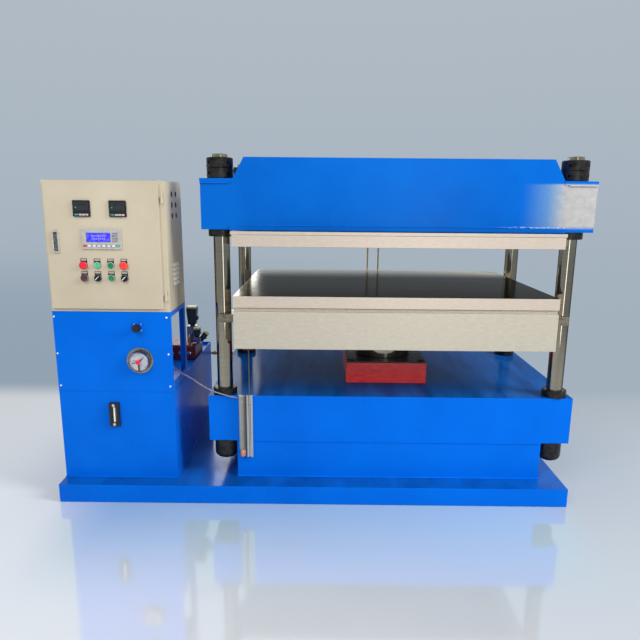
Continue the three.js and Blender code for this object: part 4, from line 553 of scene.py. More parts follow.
def round_bends(stops, bend, steps=10):
    """Straight runs between square corners with a round bend at each, as in the CAD route."""
    points = [stops[0]]
    for before, corner, after in zip(stops, stops[1:], stops[2:]):
        ahead = (corner - before).normalized()
        aside = (after - corner).normalized()
        start = corner - ahead * bend
        for step in range(steps + 1):
            angle = step / steps * math.pi / 2
            point = start + ahead * (bend * math.sin(angle)) + aside * (bend * (1 - math.cos(angle)))
            if (point - points[-1]).length > 1e-5:
                points.append(point)
    points.append(stops[-1])
    return points


def centripetal(points, count):
    """Evenly spaced points on the centripetal curve through the given ones, as in the CAD route."""
    ends = [points[0] * 2 - points[1], *points, points[-1] * 2 - points[-2]]
    fine = []
    for p0, p1, p2, p3 in zip(ends, ends[1:], ends[2:], ends[3:]):
        d1, d2, d3 = [max((b - a).length ** 0.5, 1e-6) for a, b in ((p0, p1), (p1, p2), (p2, p3))]
        m1 = ((p1 - p0) / d1 - (p2 - p0) / (d1 + d2) + (p2 - p1) / d2) * d2
        m2 = ((p2 - p1) / d2 - (p3 - p1) / (d2 + d3) + (p3 - p2) / d3) * d2
        for t in (i / 40 for i in range(40)):
            fine.append(p1 * (2 * t ** 3 - 3 * t ** 2 + 1) + m1 * (t ** 3 - 2 * t ** 2 + t)
                        + p2 * (-2 * t ** 3 + 3 * t ** 2) + m2 * (t ** 3 - t ** 2))
    fine.append(points[-1])
    return resampled(fine, count)


def resampled(points, count):
    """The same run with evenly spaced points."""
    lengths = [0.0]
    for a, b in zip(points, points[1:]):
        lengths.append(lengths[-1] + (b - a).length)
    out, index = [], 0
    for i in range(count):
        goal = lengths[-1] * i / (count - 1)
        while index < len(points) - 2 and lengths[index + 1] < goal:
            index += 1
        span = lengths[index + 1] - lengths[index]
        out.append(points[index].lerp(points[index + 1], (goal - lengths[index]) / span if span else 0))
    return out


def run_length(points):
    return sum((b - a).length for a, b in zip(points, points[1:]))


def tube(points, radius, sides):
    """A round tube along the points, closed at both ends, as a bmesh; radius in mm."""
    work = bmesh.new()
    rows = []
    heading = (points[1] - points[0]).normalized()
    side = heading.orthogonal().normalized()
    for i, point in enumerate(points):
        now = (points[min(i + 1, len(points) - 1)] - points[max(i - 1, 0)]).normalized()
        side = (heading.rotation_difference(now) @ side).normalized()
        heading = now
        up = heading.cross(side)
        rows.append([work.verts.new(point + (side * math.cos(a) + up * math.sin(a)) * radius * MM)
                     for a in (math.tau * k / sides for k in range(sides))])
    for a, b in zip(rows, rows[1:]):
        for k in range(sides):
            j = (k + 1) % sides
            work.faces.new([a[k], a[j], b[j], b[k]])
    for row, end in ((rows[0], points[0]), (rows[-1], points[-1])):
        hub = work.verts.new(end)
        for k in range(sides):
            work.faces.new([row[k], row[(k + 1) % sides], hub])
    bmesh.ops.recalc_face_normals(work, faces=work.faces)
    return work


# Repeats in Geometry Nodes


def repeat_tree(name, inputs):
    """An empty tree with its inputs, each a label and a kind of socket."""
    tree = bpy.data.node_groups.new(name, "GeometryNodeTree")
    tree.interface.new_socket("Geometry", in_out="INPUT", socket_type="NodeSocketGeometry")
    for label, kind in {**inputs, "Finish": "Material"}.items():
        tree.interface.new_socket(label, in_out="INPUT", socket_type=f"NodeSocket{kind}")
    tree.interface.new_socket("Geometry", in_out="OUTPUT", socket_type="NodeSocketGeometry")
    return tree, add(tree, "NodeGroupInput").outputs


def closed_tree(tree, given, geometry):
    """Every tree ends alike: instances realised, then the finish."""
    real = add(tree, "GeometryNodeRealizeInstances", None, {0: geometry})
    painted = add(tree, "GeometryNodeSetMaterial", None,
                  {"Geometry": real.outputs[0], "Material": given["Finish"]})
    add(tree, "NodeGroupOutput", None, {0: painted.outputs[0]})
    return tree


ARC = {"Count": "Int", "Radius": "Float", "Start": "Float", "Sweep": "Float"}


def on_arc(tree, given, item, axis):
    """The item set round an arc about the middle, each one turned so that its own axis points outwards."""
    arc = add(tree, "GeometryNodeCurveArc", None, {
        "Resolution": given["Count"], "Radius": given["Radius"], "Start Angle": given["Start"],
        "Sweep Angle": given["Sweep"]})
    spots = add(tree, "GeometryNodeCurveToPoints", {"mode": "EVALUATED"}, {"Curve": arc.outputs["Curve"]})
    where = add(tree, "GeometryNodeInputPosition")
    aim = add(tree, "FunctionNodeAlignRotationToVector", {"axis": axis}, {"Vector": where.outputs[0]})
    ring = add(tree, "GeometryNodeInstanceOnPoints", None, {
        "Points": spots.outputs["Points"], "Instance": item, "Rotation": aim.outputs[0]})
    return ring.outputs[0]


def heads_tree():
    """Chamfered round or six-sided heads at every vertex of the input mesh."""
    tree, given = repeat_tree("fastener_heads", {
        "Radius": "Float", "Height": "Float", "Sides": "Int", "Turn": "Vector"})

    def share(label, factor):
        """A fixed part of the head's height or radius."""
        return add(tree, "ShaderNodeMath", {"operation": "MULTIPLY", 1: factor}, {0: given[label]}).outputs[0]

    shank = add(tree, "GeometryNodeMeshCylinder", None, {
        "Vertices": given["Sides"], "Radius": given["Radius"], "Depth": share("Height", 0.7)})
    crown = add(tree, "GeometryNodeMeshCone", None, {
        "Vertices": given["Sides"], "Radius Top": share("Radius", 0.8), "Radius Bottom": given["Radius"],
        "Depth": share("Height", 0.3)})
    whole = add(tree, "GeometryNodeJoinGeometry")
    for part, lift in ((shank, share("Height", -0.15)), (crown, share("Height", 0.2))):
        offset = add(tree, "ShaderNodeCombineXYZ", None, {2: lift})
        raised = add(tree, "GeometryNodeTransform", None, {
            "Geometry": part.outputs["Mesh"], "Translation": offset.outputs[0]})
        tree.links.new(raised.outputs[0], whole.inputs[0])
    spread = add(tree, "GeometryNodeInstanceOnPoints", None, {
        "Points": given["Geometry"], "Instance": whole.outputs[0], "Rotation": given["Turn"]})
    return closed_tree(tree, given, spread.outputs[0])


def grid_tree():
    """Rows and columns of small blocks that face the front: keys, terminals, digits."""
    tree, given = repeat_tree("front_grid", {
        "Across": "Int", "Down": "Int", "Pitch X": "Float", "Pitch Z": "Float", "Size": "Vector",
        "Middle": "Vector"})
    spans = []
    for count, pitch in (("Across", "Pitch X"), ("Down", "Pitch Z")):
        gaps = add(tree, "ShaderNodeMath", {"operation": "SUBTRACT", 1: 1.0}, {0: given[count]})
        spans.append(product(tree, gaps.outputs[0], given[pitch]))
    grid = add(tree, "GeometryNodeMeshGrid", None, {
        "Size X": spans[0], "Size Y": spans[1], "Vertices X": given["Across"], "Vertices Y": given["Down"]})
    upright = add(tree, "GeometryNodeTransform", {"Rotation": (math.pi / 2, 0, 0)}, {
        "Geometry": grid.outputs["Mesh"], "Translation": given["Middle"]})
    key = add(tree, "GeometryNodeMeshCube", None, {"Size": given["Size"]})
    spread = add(tree, "GeometryNodeInstanceOnPoints", None, {
        "Points": upright.outputs[0], "Instance": key.outputs["Mesh"]})
    return closed_tree(tree, given, spread.outputs[0])


def ring_tree():
    """Small blocks set round an arc about the middle, each turned to face it: ticks, fins, ribs, slots."""
    tree, given = repeat_tree("arc_repeat", {
        **ARC, "Size": "Vector", "Turn": "Vector", "Middle": "Vector"})
    item = add(tree, "GeometryNodeMeshCube", None, {"Size": given["Size"]})
    ring = add(tree, "GeometryNodeTransform", None, {
        "Geometry": on_arc(tree, given, item.outputs["Mesh"], "X"), "Translation": given["Middle"],
        "Rotation": given["Turn"]})
    return closed_tree(tree, given, ring.outputs[0])


THIN_BEAD, THICK_BEAD = 0.6, 1.25  # shares of a weld bead's radius


def bead_tree():
    """A weld bead or seam along the input edges: a thin round run whose ripple has a fixed pitch."""
    tree, given = repeat_tree("weld_bead", {"Radius": "Float", "Pitch": "Float", "Seed": "Int"})
    curve = add(tree, "GeometryNodeMeshToCurve", None, {"Mesh": given["Geometry"]})
    even = add(tree, "GeometryNodeResampleCurve", {"mode": "LENGTH"},
               {"Curve": curve.outputs[0], "Length": given["Pitch"]})
    shake = add(tree, "FunctionNodeRandomValue", {"data_type": "FLOAT", 2: THIN_BEAD, 3: THICK_BEAD},
                {"Seed": given["Seed"]})
    sized = add(tree, "GeometryNodeSetCurveRadius", None,
                {"Curve": even.outputs[0], "Radius": shake.outputs[1]})
    profile = add(tree, "GeometryNodeCurvePrimitiveCircle", {"Resolution": 8}, {"Radius": given["Radius"]})
    sweep = add(tree, "GeometryNodeCurveToMesh", {"Fill Caps": True},
                {"Curve": sized.outputs[0], "Profile Curve": profile.outputs[0]})
    return closed_tree(tree, given, sweep.outputs[0])


def drill_tree():
    """Bores two rows of round holes into the input mesh, square to its side, round a ring."""
    tree, given = repeat_tree("radial_holes", {
        **ARC, "Hole": "Float", "Depth": "Float", "Middle": "Vector", "Lift": "Vector"})
    drill = add(tree, "GeometryNodeMeshCylinder", {"Vertices": 24},
                {"Radius": given["Hole"], "Depth": given["Depth"]})
    holes = on_arc(tree, given, drill.outputs["Mesh"], "Z")
    low = add(tree, "GeometryNodeTransform", None, {"Geometry": holes, "Translation": given["Middle"]})
    high = add(tree, "GeometryNodeTransform", None, {
        "Geometry": low.outputs[0], "Translation": given["Lift"]})
    bored = add(tree, "GeometryNodeMeshBoolean", {"operation": "DIFFERENCE"}, {"Mesh 1": given["Geometry"]})
    for row in (low, high):
        tree.links.new(row.outputs[0], bored.inputs["Mesh 2"])
    return closed_tree(tree, given, bored.outputs["Mesh"])


TREES = {"heads": heads_tree(), "grid": grid_tree(), "ring": ring_tree(), "bead": bead_tree(),
         "drill": drill_tree()}


def run_tree(piece, kind, key, **values):
    """Runs one of the trees on the piece with a finish and keeps the result as its plain mesh."""
    tree = TREES[kind]
    modifier = piece.modifiers.new("repeat", "NODES")
    modifier.node_group = tree
    chosen = {label.replace("_", " "): value for label, value in values.items()}
    chosen["Finish"] = materials[key]
    for item in tree.interface.items_tree:
        if item.in_out == "INPUT" and item.name in chosen:
            modifier[item.identifier] = chosen.pop(item.name)
    piece.update_tag()
    if chosen:
        raise ValueError(f"{piece.name}: {kind} has no inputs named {sorted(chosen)}")
    settled(piece)
    soften(piece, 40)
    return piece


def repeated(name, kind, key, points=(), edges=(), **values):
    """A new piece that one of the trees makes, from the points and edges where the tree needs them."""
    mesh = bpy.data.meshes.new(name)
    mesh.from_pydata([tuple(p) for p in points], edges, [])
    piece = bpy.data.objects.new(name, mesh)
    bpy.context.scene.collection.objects.link(piece)
    return run_tree(piece, kind, key, **values)


# Pieces: each rides on a body and may stand for CAD nodes; places and sizes are in mm


def keep(piece, body=FRAME, *nodes):
    """Rides on its body and stands for the named CAD nodes."""
    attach(piece, body)
    if nodes:
        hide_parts(*nodes)
    return piece


def dress(node, width, *finishes, body=FRAME, paint=None, label="dressed"):
    """The CAD node's closed mesh with rounded edges and its finishes; paint picks the finish of each face."""
    work = bmesh.new()
    work.from_mesh(frame["nodes"][node].data)
    bmesh.ops.remove_doubles(work, verts=work.verts, dist=1e-5)
    bmesh.ops.dissolve_limit(work, angle_limit=math.radians(1), verts=work.verts, edges=work.edges)
    bevelled(work, width)
    if paint:
        for face in work.faces:
            face.material_index = paint(face)
    keep(from_bmesh(f"{node}_{label}", work, *finishes, smooth=40, crisp=True), body, node)


NEARLY_UP = 0.9  # the upright share of a normal from which a face counts as level


def top_of(node):
    """A paint rule: the level faces at a node's top take the second finish."""
    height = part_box(node)[1].z - 5 * MM
    return lambda face: int(face.normal.z > NEARLY_UP and face.calc_center_median().z > height)


def level_faces(face):
    return int(abs(face.normal.z) > NEARLY_UP)


def zones(*rules):
    """A paint rule: a face takes the number of the first zone that its middle lies in, or else none."""
    def paint(face):
        middle = face.calc_center_median() / MM
        spot = {"x": middle.x - PRESS_X, "y": middle.y, "z": middle.z, "aside": abs(face.normal.x)}
        for number, limits in rules:
            if all(low <= spot[axis] <= high for axis, (low, high) in limits.items()):
                return number
        return 0
    return paint


def about(middle, reach):
    """The limits of a zone round a middle."""
    return middle - reach, middle + reach


def heads(name, spots, radius, height, key, body=FRAME, way="front", sides=20):
    """Screw or bolt heads; each spot is the middle of its head."""
    turn = {"front": (math.pi / 2, 0, 0), "up": (0, 0, 0), "back": (-math.pi / 2, 0, 0)}[way]
    piece = repeated(name, "heads", key, [place(*spot) for spot in spots], Radius=radius * MM,
                     Height=height * MM, Sides=sides, Turn=turn)
    keep(piece, body)


def four(middle, across, along, level=False):
    """Four places about a middle: across it, and up it or else along its depth where they lie level."""
    x, y, z = middle
    pairs = [(a * across, b * along) for a in (-1, 1) for b in (-1, 1)]
    return [(x + a, y + b, z) if level else (x + a, y, z + b) for a, b in pairs]


def keys(name, across, down, pitch_x, pitch_z, size, middle, key, body=DOOR):
    """A front-facing grid of small blocks."""
    piece = repeated(name, "grid", key, Across=across, Down=down, Pitch_X=pitch_x * MM, Pitch_Z=pitch_z * MM,
                     Size=tuple(v * MM for v in size), Middle=tuple(place(*middle)))
    keep(piece, body)


def ringed(name, count, radius, size, middle, key, body=FRAME, way="up", start=0, sweep=None):
    """Blocks set round a circle, or an arc of it in degrees, that faces the given way."""
    turn = {"up": (0, 0, 0), "front": (math.pi / 2, 0, 0)}[way]
    full = 360 * (count - 1) / count if sweep is None else sweep
    piece = repeated(name, "ring", key, Count=count, Radius=radius * MM, Start=math.radians(start),
                     Sweep=math.radians(full), Size=tuple(v * MM for v in size), Turn=turn,
                     Middle=tuple(place(*middle)))
    keep(piece, body)


def lathe(name, profile, middle, *finishes, way="front", sides=48, bands=None, body=FRAME, nodes=()):
    piece = from_bmesh(name, turned(profile, place(*middle), way, sides, bands), *finishes, smooth=35)
    keep(piece, body, *nodes)


def slab(name, low, high, width, key, body=FRAME, nodes=()):
    """A plate or block between two corners with rounded edges."""
    piece = from_bmesh(name, block(place(*low), place(*high), width), key, smooth=40, crisp=True)
    keep(piece, body, *nodes)


def panel(name, middle, size, front, back, width, key, body=DOOR):
    """An upright plate given by its middle and size as seen from the front, and by its front and back."""
    (x, z), (wide, high) = middle, size
    slab(name, (x - wide / 2, front, z - high / 2), (x + wide / 2, back, z + high / 2), width, key, body)


WELD_PITCH = 9


def bead(name, lines, radius, key, seed):
    """Weld runs along straight lines, each given by its two ends."""
    points, edges = [], []
    for first, last in lines:
        edges.append((len(points), len(points) + 1))
        points += [place(*first), place(*last)]
    keep(repeated(name, "bead", key, points, edges, Radius=radius * MM, Pitch=WELD_PITCH * MM, Seed=seed))


# Base, table and press frame

# The base's top takes the enamel painted darker as shade
dress("base_tray", 3, "blue_enamel", "blue_enamel_deck_shaded", paint=top_of("base_tray"))
dress("table_skirt", 2.5, "blue_enamel")
# The bed's top takes the enamel painted darker as shade, with painted reflections
dress("press_bed", 4, "blue_enamel", "blue_enamel_table_shaded", paint=top_of("press_bed"))
# The crosshead's enamel carries painted glare and a painted highlight at its right front end
dress("crosshead", 3, "blue_enamel_painted_glare")
dress("cylinder_body", 3, "red_alkyd", "black_phosphate", paint=top_of("cylinder_body"))
dress("gland_flange", 1.5, "black_phosphate")

# Platens
LUG_START = 690  # the moving table's guide lugs begin here, from the centre line
dress("upper_spacer_plate", 1.2, "milled_steel", "ground_face", paint=level_faces)
dress("upper_heating_plate", 1.5, "milled_steel", "ground_face", paint=level_faces)
dress("lower_heating_plate", 1.5, "milled_steel", "ground_face", body=PLATEN, paint=level_faces)
dress("insulation_board", 1, "fibre_board", body=PLATEN)
dress("bolster", 2, "machined_cast", "oiled_cast", body=PLATEN,
      paint=zones((1, {"x": (-math.inf, -LUG_START)}), (1, {"x": (LUG_START, math.inf)})))

# Columns, each with its foot nut, its two collars and its stud end
COLUMN_X, COLUMN_Y = 739, 359
COLUMN_RADIUS, STUD_RADIUS = 34, 33
(_, _, FOOT_LOW), (_, _, STUD_TOP) = corners("column_front_left")
FOOT_HIGH, FOOT_RADIUS, FOOT_ROUNDING = 258.7, 52, 24
LOW_COLLAR = (471.3, 501, 52)  # foot, top and radius
HIGH_COLLAR = (1170, 1199.7, 54)
BLACK, CHROME, OILED = 0, 1, 2  # the places of a column's finishes


def column_profile():
    """The column's lathe points, and the finish of each band between them."""
    def collar(low, high, radius):
        return [(radius - 2, low), (radius, low + 2), (radius, high - 2), (radius - 2, high)]

    foot = [(FOOT_RADIUS - FOOT_ROUNDING * (1 - math.sin(a)), FOOT_LOW + FOOT_ROUNDING * (1 - math.cos(a)))
            for a in (math.pi / 2 * i / 6 for i in range(7))]
    runs = (
        (BLACK, [(0, FOOT_LOW), *foot, (FOOT_RADIUS, FOOT_HIGH - 1), (FOOT_RADIUS - 1, FOOT_HIGH),
                 (COLUMN_RADIUS, FOOT_HIGH)]),
        (CHROME, [(COLUMN_RADIUS, LOW_COLLAR[0])]),
        (BLACK, [*collar(*LOW_COLLAR), (COLUMN_RADIUS + 3, LOW_COLLAR[1])]),
        (OILED, [(COLUMN_RADIUS, LOW_COLLAR[1] + 1)]),
        (CHROME, [(COLUMN_RADIUS, HIGH_COLLAR[0])]),
        (BLACK, [*collar(*HIGH_COLLAR), (STUD_RADIUS, HIGH_COLLAR[1])]),
        (OILED, [(STUD_RADIUS, STUD_TOP - 3), (STUD_RADIUS - 3, STUD_TOP), (6, STUD_TOP), (4, STUD_TOP - 4),
                 (0, STUD_TOP - 5)]),
    )
    rows = [(point, number) for number, points in runs for point in points]
    return [row[0] for row in rows], [row[1] for row in rows[1:]]


# Ring nuts: a main nut and a lock nut, each with four tommy-bar holes
NUT_RADIUS, NUT_BORE, NUT_DEEP = 55, 33.3, 42
(_, _, NUT_LOW), (_, _, NUT_HIGH) = corners("ring_nuts_front_left")
NUT_SEAM = NUT_LOW + NUT_DEEP
NUT_PROFILE = [
    (NUT_BORE, NUT_LOW), (NUT_RADIUS - 3, NUT_LOW), (NUT_RADIUS, NUT_LOW + 3), (NUT_RADIUS, NUT_SEAM - 2),
    (NUT_RADIUS - 2, NUT_SEAM), (NUT_RADIUS, NUT_SEAM + 2), (NUT_RADIUS, NUT_HIGH - 3),
    (NUT_RADIUS - 3, NUT_HIGH), (NUT_BORE + 3, NUT_HIGH), (NUT_BORE, NUT_HIGH - 3), (NUT_BORE, NUT_LOW)]
TOMMY_RADIUS, TOMMY_DEEP = 6, 14

points, bands = column_profile()
for corner, x, y in (
    ("front_left", -COLUMN_X, -COLUMN_Y), ("front_right", COLUMN_X, -COLUMN_Y),
    ("rear_left", -COLUMN_X, COLUMN_Y), ("rear_right", COLUMN_X, COLUMN_Y),
):
    lathe(f"column_{corner}_turned", points, (x, y, 0), "black_phosphate", "hard_chrome", "oiled_steel",
          way="up", sides=64, bands=bands, nodes=(f"column_{corner}",))
    nuts = from_bmesh(f"ring_nuts_{corner}_turned", turned(NUT_PROFILE, place(x, y, 0), sides=64),
                      "black_phosphate")
    run_tree(nuts, "drill", "black_phosphate", Count=4, Start=math.radians(45), Sweep=math.radians(270),
             Radius=(NUT_RADIUS - 5) * MM, Hole=TOMMY_RADIUS * MM, Depth=TOMMY_DEEP * MM,
             Middle=tuple(place(x, y, NUT_LOW + NUT_DEEP / 2)), Lift=(0, 0, NUT_DEEP * MM))
    keep(nuts, FRAME, f"ring_nuts_{corner}")

# Ram
RAM_RADIUS, RAM_EDGE = 130, 4
(_, _, RAM_LOW), (_, _, RAM_HIGH) = corners("ram")
lathe("ram_ground", [(0, RAM_LOW), (RAM_RADIUS - RAM_EDGE, RAM_LOW), (RAM_RADIUS, RAM_LOW + RAM_EDGE),
                     (RAM_RADIUS, RAM_HIGH - RAM_EDGE), (RAM_RADIUS - RAM_EDGE, RAM_HIGH), (0, RAM_HIGH)],
      (0, 0, 0), "hard_chrome", way="up", sides=96, body=PLATEN, nodes=("ram",))

# Power unit: tank, lid, side frames and front panel
for node, width in (("oil_tank", 3), ("tank_lid", 2), ("unit_frame_left", 2), ("unit_frame_right", 2)):
    dress(node, width, "blue_enamel")
(UNIT_LEFT, _, PANEL_FOOT), (UNIT_RIGHT, PANEL_BACK, PANEL_TOP) = corners("unit_front_panel")
PANEL_FACE = PANEL_BACK - 3
PANEL_SCREWS = ((826, 6, 19), (663, 8.5, 17), (518, 11, 16))  # height, inset from the left and from the right
slab("unit_front_panel_pressed", (UNIT_LEFT, PANEL_FACE, PANEL_FOOT), (UNIT_RIGHT, PANEL_BACK, PANEL_TOP), 1,
     "blue_enamel", nodes=("unit_front_panel",))
heads("panel_screws", [(x, PANEL_FACE - 1, z) for z, left, right in PANEL_SCREWS
                       for x in (UNIT_LEFT + left, UNIT_RIGHT - right)], 4, 2, "white_abs")

# Motor: a finned barrel between its flange and fan cover
MOTOR_X, MOTOR_Y = -1260, 20
(_, _, FLANGE_FOOT), (_, TERMINAL_BACK, COVER_TOP) = corners("electric_motor")
FLANGE_TOP, COVER_FOOT = FLANGE_FOOT + 14, COVER_TOP - 48
FLANGE_RADIUS, BARREL_RADIUS, COVER_RADIUS = 100, 79, 92
FIN_PROUD, FIN_THICK = 9, 2.6
GRILLE_BAR, GRILLE_TOP = (44, 3, 3.2), COVER_TOP - 2.5
FLANGE_BOLT_AT = 64
lathe("motor_barrel", [
    (0, FLANGE_FOOT), (FLANGE_RADIUS, FLANGE_FOOT), (FLANGE_RADIUS, FLANGE_TOP - 2),
    (FLANGE_RADIUS - 2, FLANGE_TOP), (BARREL_RADIUS, FLANGE_TOP), (BARREL_RADIUS, COVER_FOOT),
    (COVER_RADIUS - 1, COVER_FOOT), (COVER_RADIUS, COVER_FOOT + 1), (COVER_RADIUS, COVER_TOP - 9),
    (COVER_RADIUS - 9, COVER_TOP), (COVER_RADIUS - 22, COVER_TOP), (COVER_RADIUS - 24, COVER_TOP - 4),
    (0, COVER_TOP - 4)],
    (MOTOR_X, MOTOR_Y, 0), "motor_enamel", way="up", sides=64, nodes=("electric_motor",))
ringed("motor_fins", 36, BARREL_RADIUS + FIN_PROUD / 2, (FIN_PROUD, FIN_THICK, COVER_FOOT - FLANGE_TOP),
       (MOTOR_X, MOTOR_Y, (COVER_FOOT + FLANGE_TOP) / 2), "motor_enamel")
ringed("fan_cover_grille", 28, COVER_RADIUS / 2, GRILLE_BAR, (MOTOR_X, MOTOR_Y, GRILLE_TOP), "motor_enamel")
bolts = four((MOTOR_X, MOTOR_Y, FLANGE_TOP + 4), FLANGE_BOLT_AT, FLANGE_BOLT_AT, level=True)
heads("motor_flange_bolts", bolts, 8, 8, "bright_nickel", way="up", sides=6)

# The motor's terminal box, on its rear side
TERMINAL_FRONT, TERMINAL_Z, LID_SCREW_Z = 96, 700.2, 700
for name, half_x, half_z, front, back, width, key in (
    ("box", 46, 42, TERMINAL_FRONT, TERMINAL_BACK, 4, "motor_enamel"),
    ("lid", 43, 39, TERMINAL_BACK - 1, TERMINAL_BACK + 1.5, 1, "zinc_sheet"),
):
    slab(f"motor_terminal_{name}", (MOTOR_X - half_x, front, TERMINAL_Z - half_z),
         (MOTOR_X + half_x, back, TERMINAL_Z + half_z), width, key)
heads("motor_lid_screws", four((MOTOR_X, TERMINAL_BACK + 2, LID_SCREW_Z), 36, 32), 3.5, 2,
      "bright_nickel", way="back")
dress("gear_pump", 1.5, "cast_iron")
dress("motor_shaft", 1, "drawn_alloy", body="motor_shaft_body")

# Valve bank
PLUG_X, PLUG_PITCH, PLUG_Z = -1130, 44, 536
(_, MANIFOLD_FRONT, _), (_, _, MANIFOLD_TOP) = corners("valve_manifold")
VALVE_FOOT = MANIFOLD_TOP + 0.3
UPPER_VALVE, UPPER_TOP = (-1004, 190), VALVE_FOOT + 78
LOWER_VALVE, LOWER_TOP = (-960, 115), VALVE_FOOT + 34
dress("valve_manifold", 4, "oxide_red")
heads("manifold_plugs", [(PLUG_X + PLUG_PITCH * i, MANIFOLD_FRONT - 1.5, PLUG_Z) for i in range(4)], 11, 4,
      "bright_nickel", sides=6)


def valve_body(name, middle, half_x, half_y, top, width, node):
    x, y = middle
    slab(name, (x - half_x, y - half_y, VALVE_FOOT), (x + half_x, y + half_y, top), width, "zinc_sheet",
         nodes=(node,))


# A coil's neck and the height and depth of the plug on its side, as shares of the coil's half width and reach
NECK_SHARE, PLUG_DEEP, PLUG_FROM, PLUG_TO = 0.66, 0.45, 0.26, 0.5


def coil(name, half, low, high, centre, tilt=0):
    """A moulded solenoid coil, narrower at its neck, with a plug on its side and a domed cap."""
    reach = high - low
    neck = turned([(13, -2), (13, low + 1), (0, low + 1)], Vector(), "up", 24)
    body = block([-1, -1, low * MM], [1, 1, high * MM])
    for vert in body.verts:
        side = (half - 4 if vert.co.z > low * MM + 1e-6 else half * NECK_SHARE) * MM
        vert.co.x, vert.co.y = math.copysign(side, vert.co.x), math.copysign(side, vert.co.y)
    bevelled(body, 5, 3)
    plug = block((0, -half * PLUG_DEEP * MM, (low + reach * PLUG_FROM) * MM),
                 (half * MM, half * PLUG_DEEP * MM, (low + reach * PLUG_TO) * MM), 4, 3)
    side = (half - 5) * MM
    dome = block((-side, -side, (high - 3) * MM), (side, side, (high + 9) * MM), 5, 3)
    work = spun(merged((1, neck), (0, body), (0, plug), (2, dome)), tilt, centre)
    keep(from_bmesh(name, work, "dark_green_abs", "black_phosphate", "cream_abs", smooth=40, crisp=True))


valve_body("upper_valve_body", UPPER_VALVE, 26, 28, UPPER_TOP, 3, "solenoid_valve_upper")
coil("upper_valve_coil", 32, 9, 98, (*UPPER_VALVE, UPPER_TOP))
valve_body("lower_valve_body", LOWER_VALVE, 18, 26, LOWER_TOP, 2.5, "solenoid_valve_lower")
coil("lower_valve_coil", 22, 9, 43, (LOWER_VALVE[0] - 4, LOWER_VALVE[1], LOWER_TOP))
coil("tilted_valve_coil", 19, 9, 47, (LOWER_VALVE[0] + 14, LOWER_VALVE[1], LOWER_TOP - 17), 38)
slab("lower_valve_plug", (LOWER_VALVE[0] - 16, 76, 581), (LOWER_VALVE[0] + 12, 89.5, 608), 4, "blue_abs")
heads("valve_bolts", four((*LOWER_VALVE, LOWER_TOP + 1.3), 14, 21, level=True)
      + four((*UPPER_VALVE, UPPER_TOP + 1.3), 21, 23, level=True), 3, 3, "bright_nickel", way="up", sides=6)

# Small tubes of the valve bank
TUBE_RADIUS, DRAIN_BEND = 3, 9
DRAIN = [(-962, 88, 590), (-962, 66, 590), (-985, 66, 590), (-985, 66, 540)]
PILOT = [(-1010, 160, 620), (-1010, 138, 620), (-1010, 120, 604), (-1004, 108, 580)]
drain = round_bends([place(*p) for p in DRAIN], DRAIN_BEND * MM)
keep(from_bmesh("drain_tube", tube(drain, TUBE_RADIUS, 12), "cream_abs", smooth=60))
pilot = resampled([place(*p) for p in PILOT], 14)
keep(from_bmesh("pilot_tube", tube(pilot, TUBE_RADIUS, 12), "bright_nickel", smooth=60))

# Breather cap
BREATHER_X, BREATHER_Y = -1390, 330
(_, _, NECK_FOOT), (_, _, CAP_TOP) = corners("breather_cap")
CAP_FOOT, CAP_RADIUS, NECK_RADIUS = 498.9, 30, 15
lathe("breather_cap_moulded", [
    (0, NECK_FOOT), (NECK_RADIUS, NECK_FOOT), (NECK_RADIUS, CAP_FOOT), (CAP_RADIUS - 1, CAP_FOOT),
    (CAP_RADIUS, CAP_FOOT + 1.1), (CAP_RADIUS, CAP_TOP - 14.9), (CAP_RADIUS - 3, CAP_TOP - 7.9),
    (CAP_RADIUS - 12, CAP_TOP - 1.4), (0, CAP_TOP)],
    (BREATHER_X, BREATHER_Y, 0), "black_abs", way="up", body="breather_cap_body", nodes=("breather_cap",))
CAP_RIB, CAP_RIB_Z = (1.2, 2, 20), 511
ringed("breather_grip_ribs", 24, CAP_RADIUS - 0.4, CAP_RIB, (BREATHER_X, BREATHER_Y, CAP_RIB_Z), "black_abs",
       "breather_cap_body")

# Pressure pipe with its nuts: out of the manifold, down, along the rear of the base, up and into the cylinder
PIPE_REAR, PIPE_LOW, PIPE_START, PIPE_END = 438, 437, (-1049, 545), (0, 522)
MANIFOLD_PORT, CYLINDER_PORT, PIPE_BEND, PIPE_RADIUS = 226.3, 191.3, 32, 7
PIPE = [(PIPE_START[0], MANIFOLD_PORT, PIPE_START[1]), (PIPE_START[0], PIPE_REAR, PIPE_START[1]),
        (PIPE_START[0], PIPE_REAR, PIPE_LOW), (PIPE_END[0], PIPE_REAR, PIPE_LOW),
        (PIPE_END[0], PIPE_REAR, PIPE_END[1]), (PIPE_END[0], CYLINDER_PORT, PIPE_END[1])]
PIPE_NUT = [(7.2, -9), (11, -9), (12.5, -7), (12.5, 7), (11, 9), (7.2, 9), (7.2, -9)]
pipe = tube(round_bends([place(*p) for p in PIPE], PIPE_BEND * MM), PIPE_RADIUS, 24)
keep(from_bmesh("pressure_pipe_bent", pipe, "yellow_zinc", smooth=60), FRAME, "pressure_pipe")
for label, x, y, z, way in (("manifold_end", PIPE_START[0], 246, PIPE_START[1], "back"),
                            ("cylinder_end", PIPE_END[0], 214, PIPE_END[1], "back"),
                            ("tank_corner", -938, PIPE_REAR, PIPE_LOW, "right"),
                            ("column_side", -816, PIPE_REAR, PIPE_LOW, "right")):
    lathe(f"pipe_nut_{label}", PIPE_NUT, (x, y, z), "yellow_zinc", way=way, sides=6)


def at(spot, depth):
    """A place on the front, given as seen from there, at its depth."""
    return spot[0], depth, spot[1]


